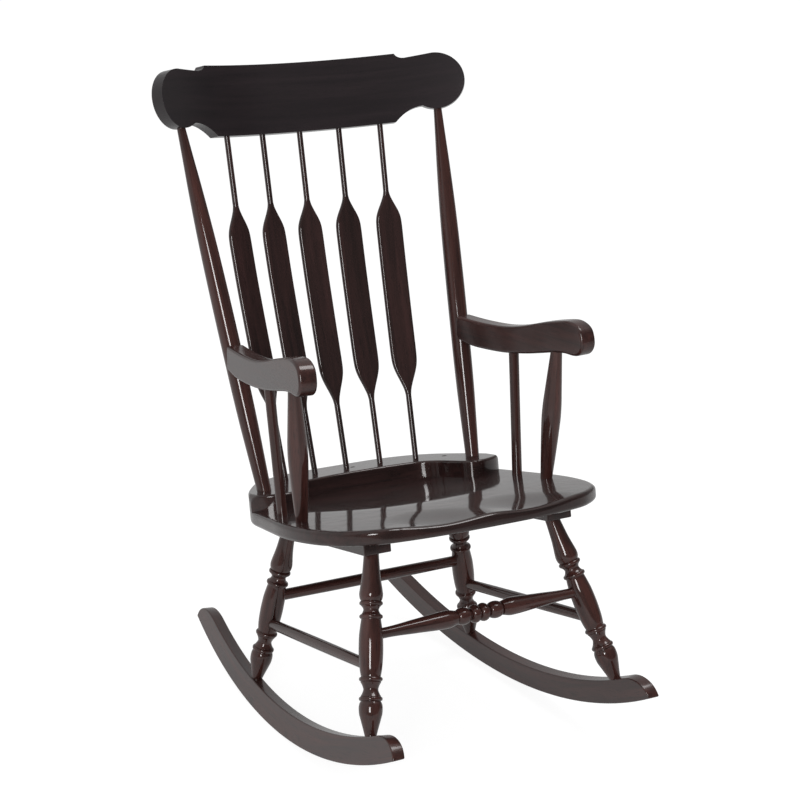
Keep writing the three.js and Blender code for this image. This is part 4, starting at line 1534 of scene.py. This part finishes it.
@dataclass
class Slats:
    """The five arrow slats: round at both ends, with a long flat paddle between two arrow shoulders."""

    shop: Workshop
    seat: Seat
    rail: BackRail
    crest: Crest
    count: int = 5
    pitch_at_rail: float = 0.0674
    pitch_at_crest: float = 0.078
    rod_radius: float = 0.0052
    paddle_width: float = 0.049
    paddle_thickness: float = 0.0105
    lower_rod: float = 0.122
    lower_arrow: float = 0.057
    paddle: float = 0.264
    upper_arrow: float = 0.047
    arrow_shares: Knots = (
        (-0.08, 0), (0.08, 0.077), (0.244, 0.232), (0.407, 0.412), (0.57, 0.608), (0.733, 0.778),
        (0.9, 0.907), (1.06, 0.969), (1.22, 0.99), (1.38, 1),
    )
    bow: float = 0.012
    bow_shares: Knots = (
        (0, 0), (0.13, 0.12), (0.19, 0.2), (0.25, 0.38), (0.375, 0.7), (0.5, 0.9), (0.6, 1), (0.69, 0.98),
        (0.81, 0.62), (0.94, 0.2), (1, 0),
    )
    rail_place: float = 0.1754
    outer_advance: float = 0.020
    tenon: float = 0.010
    sides: int = 28
    rod_steps: int = 8
    arrow_steps: int = 20
    paddle_steps: int = 12

    def ends(self, index: int) -> tuple[Vector, Vector, float]:
        """Finds where a slat stands.

        Args:
            index: The slat's number, from 0 at the left.

        Returns:
            Its foot, its top, and how far it turns to face along the crest's bend.
        """
        outermost = (self.count - 1) / 2
        place = index - outermost
        back = self.rail_place - self.outer_advance * (place / outermost) ** 2
        foot = self.seat.on(place * self.pitch_at_rail, back, self.rail.top)
        top = self.crest.inside(place * self.pitch_at_crest, 0)
        return foot, top, math.asin(place * self.pitch_at_crest / self.crest.bend_radius)

    def stations(self, length: float) -> Profile:
        """Lists the stations along a slat: a tenon, a rod, an arrow, the paddle, and the same in reverse.

        Args:
            length: The slat's length between its tenons.

        Returns:
            The place of each station and the half width there.
        """
        rod, half = self.rod_radius, self.paddle_width / 2
        neck = self.lower_rod + self.lower_arrow + self.paddle + self.upper_arrow
        swell = smooth_curve(self.arrow_shares)
        first, last = self.arrow_shares[0][0], self.arrow_shares[-1][0]
        shares = [first + (last - first) * share for share in even(self.arrow_steps)]
        widths = [rod + swell(share) * (half - rod) for share in shares]
        lower = [(self.lower_rod + share * self.lower_arrow, width) for share, width in zip(shares, widths)]
        upper = [(neck - share * self.upper_arrow, width) for share, width in zip(shares, widths)][::-1]
        along_rod = even(self.rod_steps)[:-1]
        low, high = lower[-1][0], upper[0][0]
        return [
            (-self.tenon, rod),
            *((lower[0][0] * share, rod) for share in along_rod),
            *lower,
            *((low + (high - low) * share, half) for share in even(self.paddle_steps)[1:-1]),
            *upper,
            *((length - (length - upper[-1][0]) * share, rod) for share in reversed(along_rod)),
            (length + self.tenon, rod),
        ]

    def section(self, place: float, half: float, length: float) -> list[Vector]:
        """Draws the section of a slat: a circle on its rods, a rounded oblong on its paddle.

        Args:
            place: The section's place along the slat.
            half: Its half width.
            length: The slat's length between its tenons.

        Returns:
            The section's points.
        """
        round_edge = min(half, self.paddle_thickness / 2)
        bow = self.bow * smooth_curve(self.bow_shares)(place / length)
        points = []
        for step in range(self.sides):
            angle = math.tau * (step + 0.5) / self.sides
            across = math.cos(angle) * round_edge + math.copysign(half - round_edge, math.cos(angle))
            points.append(Vector((across, math.sin(angle) * round_edge + bow, place)))
        return points

    def where(self, index: int, own_length: float) -> Matrix:
        """Places a slat and draws it out to the length that it needs there.

        Args:
            index: The slat's number, from 0 at the left.
            own_length: The length that it was modelled with.

        Returns:
            The slat's place in the chair's own frame.
        """
        foot, top, turn = self.ends(index)
        upward = (top - foot).normalized()
        across = Vector((math.sin(turn), math.cos(turn), 0)).cross(upward).normalized()
        turned = Matrix((across, upward.cross(across), upward)).transposed().to_4x4()
        stretch = Matrix.Diagonal((1, 1, (top - foot).length / own_length, 1))
        return Matrix.Translation(foot) @ turned @ stretch

    def build(self) -> None:
        """Models the middle slat and puts a copy of it at each place."""
        foot, top, _ = self.ends(self.count // 2)
        length = (top - foot).length
        rings = [self.section(place, half, length) for place, half in self.stations(length)]
        pattern = Bench.bridged("arrow_slat", rings)
        for index in range(self.count):
            piece = Bench.copy(pattern, f"arrow_slat_{index + 1}")
            Bench.mark_grain(piece)
            self.shop.install(piece, f"slat_{index + 1}", Finish.BOARD, self.where(index, length))
        bpy.data.objects.remove(pattern)


@dataclass
class Arms:
    """The two arms: sawn boards that dip in the middle and roll over at the front."""

    shop: Workshop
    posts: BackPosts
    length: float = 0.3495
    width: float = 0.032
    profile_height: float = 0.0947
    underside: float = 0.604
    rear_before_axis: float = 0.009
    edge: float = 0.0065
    edge_steps: int = 5
    splay: float = math.radians(6.4)
    screw_height: float = 0.6313
    steps: int = 5
    top_shares: Knots = (
        (1, 0.5), (0.825, 0.505), (0.659, 0.543), (0.542, 0.607), (0.44, 0.699), (0.337, 0.815),
        (0.221, 0.927), (0.118, 0.998), (0.057, 0.966), (0.018, 0.864),
    )
    underside_shares: Knots = (
        (0, 0.662), (0.008, 0.514), (0.034, 0.414), (0.075, 0.378), (0.142, 0.378), (0.221, 0.335),
        (0.335, 0.237), (0.451, 0.145), (0.615, 0.048), (0.79, 0), (0.893, 0), (1, 0.058),
    )

    def where(self, side: int) -> Matrix:
        """Places an arm's frame at its post's axis, level, and splayed out to the front.

        Args:
            side: Which arm it is.

        Returns:
            The arm's place in the chair's own frame.
        """
        foot, top = self.posts.ends(side)
        rear = foot.lerp(top, (self.screw_height - foot.z) / (top.z - foot.z))
        return Matrix.Translation((rear.x, rear.y, 0)) @ Matrix.Rotation(side * self.splay, 4, "Z")

    def underside_at(self, place: float) -> float:
        """Reads the height of the underside.

        Args:
            place: The distance from the arm's front end.

        Returns:
            The height in the chair's own frame.
        """
        shares = self.underside_shares
        knots = [(share * self.length, height * self.profile_height) for share, height in shares]
        index = min(max(bisect_right([knot[0] for knot in knots], place), 1), len(knots) - 1)
        (low, low_height), (high, high_height) = knots[index - 1], knots[index]
        share = (place - low) / (high - low)
        return self.underside + low_height + share * (high_height - low_height)

    def build(self) -> None:
        """Builds both arms."""
        shares = (*self.top_shares, *self.underside_shares)
        front = -self.rear_before_axis - self.length
        knots = [(front + self.length * share, self.underside + self.profile_height * height)
                 for share, height in shares]
        outline = [Vector((-self.width / 2, p.x, p.y)) for p in spline(knots, self.steps)]
        sideways = Vector((self.width, 0, 0))
        for side, word in SIDES.items():
            piece = Bench.board(f"scrolled_arm_{word}", outline, sideways, self.edge, self.edge_steps)
            Bench.mark_grain(piece, grain_along_y)
            self.shop.install(piece, f"arm_{word}", Finish.SAWN, self.where(side))


@dataclass(frozen=True)
class Support:
    """One kind of turning under the arms: where it stands on the seat and under the arm, and its shape."""

    name: str
    node: str
    radius: float
    place: Span
    from_front: float
    shares: Knots


@dataclass
class ArmSupports:
    """The turned post and the plain spindle under each arm."""

    shop: Workshop
    seat: Seat
    arms: Arms
    kinds: tuple[Support, ...] = (
        Support(
            "turned_arm_post", "arm_post", radius=0.017, place=(0.2433, -0.1124), from_front=0.079,
            shares=((0, 0.61), (0.125, 0.73), (0.25, 0.84), (0.375, 0.935), (0.5, 1), (0.58, 0.98),
                    (0.6875, 0.89), (0.8125, 0.775), (0.9375, 0.655), (1, 0.6)),
        ),
        Support(
            "plain_spindle", "arm_spindle", radius=0.009, place=(0.2366, -0.0278), from_front=0.1945,
            shares=((0, 1), (0.5, 0.98), (1, 1)),
        ),
    )
    inset: float = 0.005
    tenon: float = 0.012
    stations: int = 36

    def add(self, kind: Support, side: int, word: str) -> None:
        """Builds one support between the seat and an arm.

        Args:
            kind: Which support it is.
            side: Which side it stands on.
            word: That side's name.
        """
        arms = self.arms
        foot = self.seat.on(side * kind.place[0], kind.place[1])
        back = -arms.rear_before_axis - arms.length + kind.from_front
        top = arms.where(side) @ Vector((-side * self.inset, back, arms.underside_at(kind.from_front)))
        profile = turning(kind.shares, (top - foot).length, kind.radius, self.stations)
        profile = tenoned(profile, self.tenon, self.tenon)
        self.shop.turn(f"{kind.name}_{word}", f"{kind.node}_{word}", profile, foot, top)

    def build(self) -> None:
        """Builds the four supports."""
        for side, word in SIDES.items():
            for kind in self.kinds:
                self.add(kind, side, word)


@dataclass
class Screws:
    """The screws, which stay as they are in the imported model."""

    finishes: Finishes

    def build(self) -> None:
        """Dresses every screw in plated steel."""
        for name, node in frame["nodes"].items():
            if "screw" in name:
                for slot in node.material_slots:
                    slot.material = self.finishes.made[Finish.STEEL]


@dataclass(frozen=True)
class Lamp:
    """A soft lamp, placed by where it hangs as seen from the chair."""

    name: str
    azimuth: float
    elevation: float
    distance: float
    width: float
    height: float
    brightness: float
    aim_height: float = 0.5

    def hang(self) -> None:
        """Hangs the lamp and aims it at the chair."""
        data = bpy.data.lights.new(self.name, "AREA")
        data.energy = self.brightness * math.pi * self.width * self.height
        data.shape = "RECTANGLE"
        data.size = self.width
        data.size_y = self.height
        lamp = bpy.data.objects.new(self.name, data)
        bpy.context.scene.collection.objects.link(lamp)
        away = outward(math.radians(self.azimuth), math.radians(self.elevation))
        lamp.location = Vector((0, 0, self.aim_height)) + away * self.distance
        lamp.rotation_euler = (-away).to_track_quat("-Z", "Y").to_euler()


@dataclass
class Studio:
    """The white floor and backdrop, the soft light and the camera."""

    chair: Matrix
    camera_place: tuple[float, float, float] = (-1.8225, -3.1393, 1.5401)
    azimuth: float = math.radians(-30.2638)
    elevation: float = math.radians(15.151)
    lens: float = 97.643
    sensor: float = 36.0
    floor_size: float = 60.0
    white: tuple[float, float, float, float] = (1.0, 1.0, 1.0, 1.0)
    floor_glow: float = 0.9
    # The floor's painted shade in gloss: its levels on the left and the right, the span across where it
    # changes, and the span behind where it rises to the backdrop's level.
    painted_floor_shade: Span = (0.52, 0.33)
    painted_shade_across: Span = (-0.9, 0.7)
    painted_shade_fade: Span = (2.0, 7.0)
    matt: Colour = (0.9, 0.9, 0.9)
    dim: Colour = (0.2, 0.2, 0.2)
    ambient: float = 0.65
    left_gloss: float = 0.62
    back_gloss: float = 0.47
    right_gloss: float = 0.16
    front_share: float = 0.3
    right_span: Span = (0.55, 0.92)
    left_span: Span = (-0.6, 0.1)
    front_span: Span = (-0.6, -0.1)
    lamps: tuple[Lamp, ...] = (
        Lamp("key_strip", -39, 18.5, 3.9, 0.8, 1.25, 15.0),
        Lamp("top_lamp", 60, 68, 3.2, 1.5, 1.5, 6.0),
    )

    def camera(self) -> None:
        """Sets the camera up where the photograph was taken from."""
        data = bpy.data.cameras.new("studio_camera")
        data.lens = self.lens
        data.sensor_width = self.sensor
        camera = bpy.data.objects.new("studio_camera", data)
        bpy.context.scene.collection.objects.link(camera)
        back = outward(self.azimuth, self.elevation)
        right = Vector((math.cos(self.azimuth), math.sin(self.azimuth), 0))
        turned = Matrix((right, back.cross(right), back)).transposed().to_4x4()
        camera.matrix_world = self.chair @ Matrix.Translation(self.camera_place) @ turned
        bpy.context.scene.camera = camera

    def floor(self) -> None:
        """Lays the white floor, which keeps a soft shadow and, in gloss, glows with painted shade."""
        bpy.ops.object.select_all(action="DESELECT")
        bpy.ops.mesh.primitive_plane_add(size=self.floor_size)
        floor = bpy.context.object
        floor.name = "studio_floor"
        material = bpy.data.materials.new("studio_floor")
        board = NodeBoard(material)
        board.nodes.clear()
        rays = board.add("LightPath", {}).outputs
        seen = board.sum_up(
            "MAXIMUM", rays["Is Camera Ray"], rays["Is Glossy Ray"], rays["Is Transmission Ray"]
        )
        place = board.add("SeparateXYZ", {"Vector": board.add("TexCoord", {}).outputs["Object"]}).outputs
        # In gloss the floor glows with painted shade: darker towards the chair's right near it, rising to the
        # backdrop's gloss level far behind it.
        near = board.span(place["X"], self.painted_shade_across, self.painted_floor_shade, smooth=True)
        far = board.span(place["Y"], self.painted_shade_fade, (0.0, 1.0), smooth=True)
        gloss = board.mix("Float", far, near, self.back_gloss)
        level = board.mix("Float", rays["Is Camera Ray"], gloss, self.floor_glow)
        matt = board.add("BsdfDiffuse", {"Color": (*self.matt, 1)})
        dim = board.add("BsdfDiffuse", {"Color": (*self.dim, 1)})
        glow = board.add("Emission", {"Color": self.white, "Strength": level})
        lit = board.add("AddShader", {0: glow.outputs[0], 1: dim.outputs[0]})
        mix = board.add("MixShader", {0: seen, 1: matt.outputs[0], 2: lit.outputs[0]})
        board.add("OutputMaterial", {"Surface": mix.outputs[0]})
        floor.data.materials.append(material)

    def world(self) -> None:
        """Makes the backdrop white to the eye, and in gloss brightest on the chair's left."""
        world = bpy.data.worlds.new("studio_world")
        bpy.context.scene.world = world
        board = NodeBoard(world)
        rays = board.add("LightPath", {}).outputs
        way = board.add("SeparateXYZ", {"Vector": board.add("TexCoord", {}).outputs["Generated"]}).outputs
        right = board.span(way["X"], self.right_span, (self.back_gloss, self.right_gloss), smooth=True)
        left = board.span(way["X"], self.left_span, (self.left_gloss - self.back_gloss, 0.0), smooth=True)
        front = board.span(way["Y"], self.front_span, (self.front_share, 1.0), smooth=True)
        shade = board.sum_up("MULTIPLY", board.sum_up("ADD", right, left), front)
        seen = board.sum_up("MAXIMUM", rays["Is Camera Ray"], rays["Is Transmission Ray"])
        level = board.mix("Float", rays["Is Glossy Ray"], self.ambient, shade)
        level = board.mix("Float", seen, level, 1.0)
        board.feed(board.nodes["Background"], {"Color": self.white, "Strength": level})

    def build(self) -> None:
        """Sets the whole studio up."""
        self.camera()
        self.floor()
        self.world()
        for lamp in self.lamps:
            lamp.hang()
        bpy.context.scene.view_settings.view_transform = "Standard"


def main() -> None:
    """Builds the chair piece by piece, then the studio round it."""
    logging.basicConfig(level=logging.INFO, format="%(name)s %(message)s")
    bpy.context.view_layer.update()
    finishes = Finishes()
    chair = ChairPlace().matrix()
    shop = Workshop(finishes, chair)
    runners = Runners(shop)
    seat = Seat(shop)
    rail = BackRail(shop, seat)
    cleats = Cleats(shop, seat)
    legs = Legs(shop, seat, cleats, runners)
    crest = Crest(shop)
    posts = BackPosts(shop, seat, rail, crest)
    arms = Arms(shop, posts)
    assemblies = [
        runners, seat, rail, cleats, legs, Stretchers(shop, legs), crest, posts,
        Slats(shop, seat, rail, crest), arms, ArmSupports(shop, seat, arms), Screws(finishes), Studio(chair),
    ]
    for assembly in assemblies:
        assembly.build()
        log.info("%s is done", type(assembly).__name__)


if __name__ == "__main__":
    main()
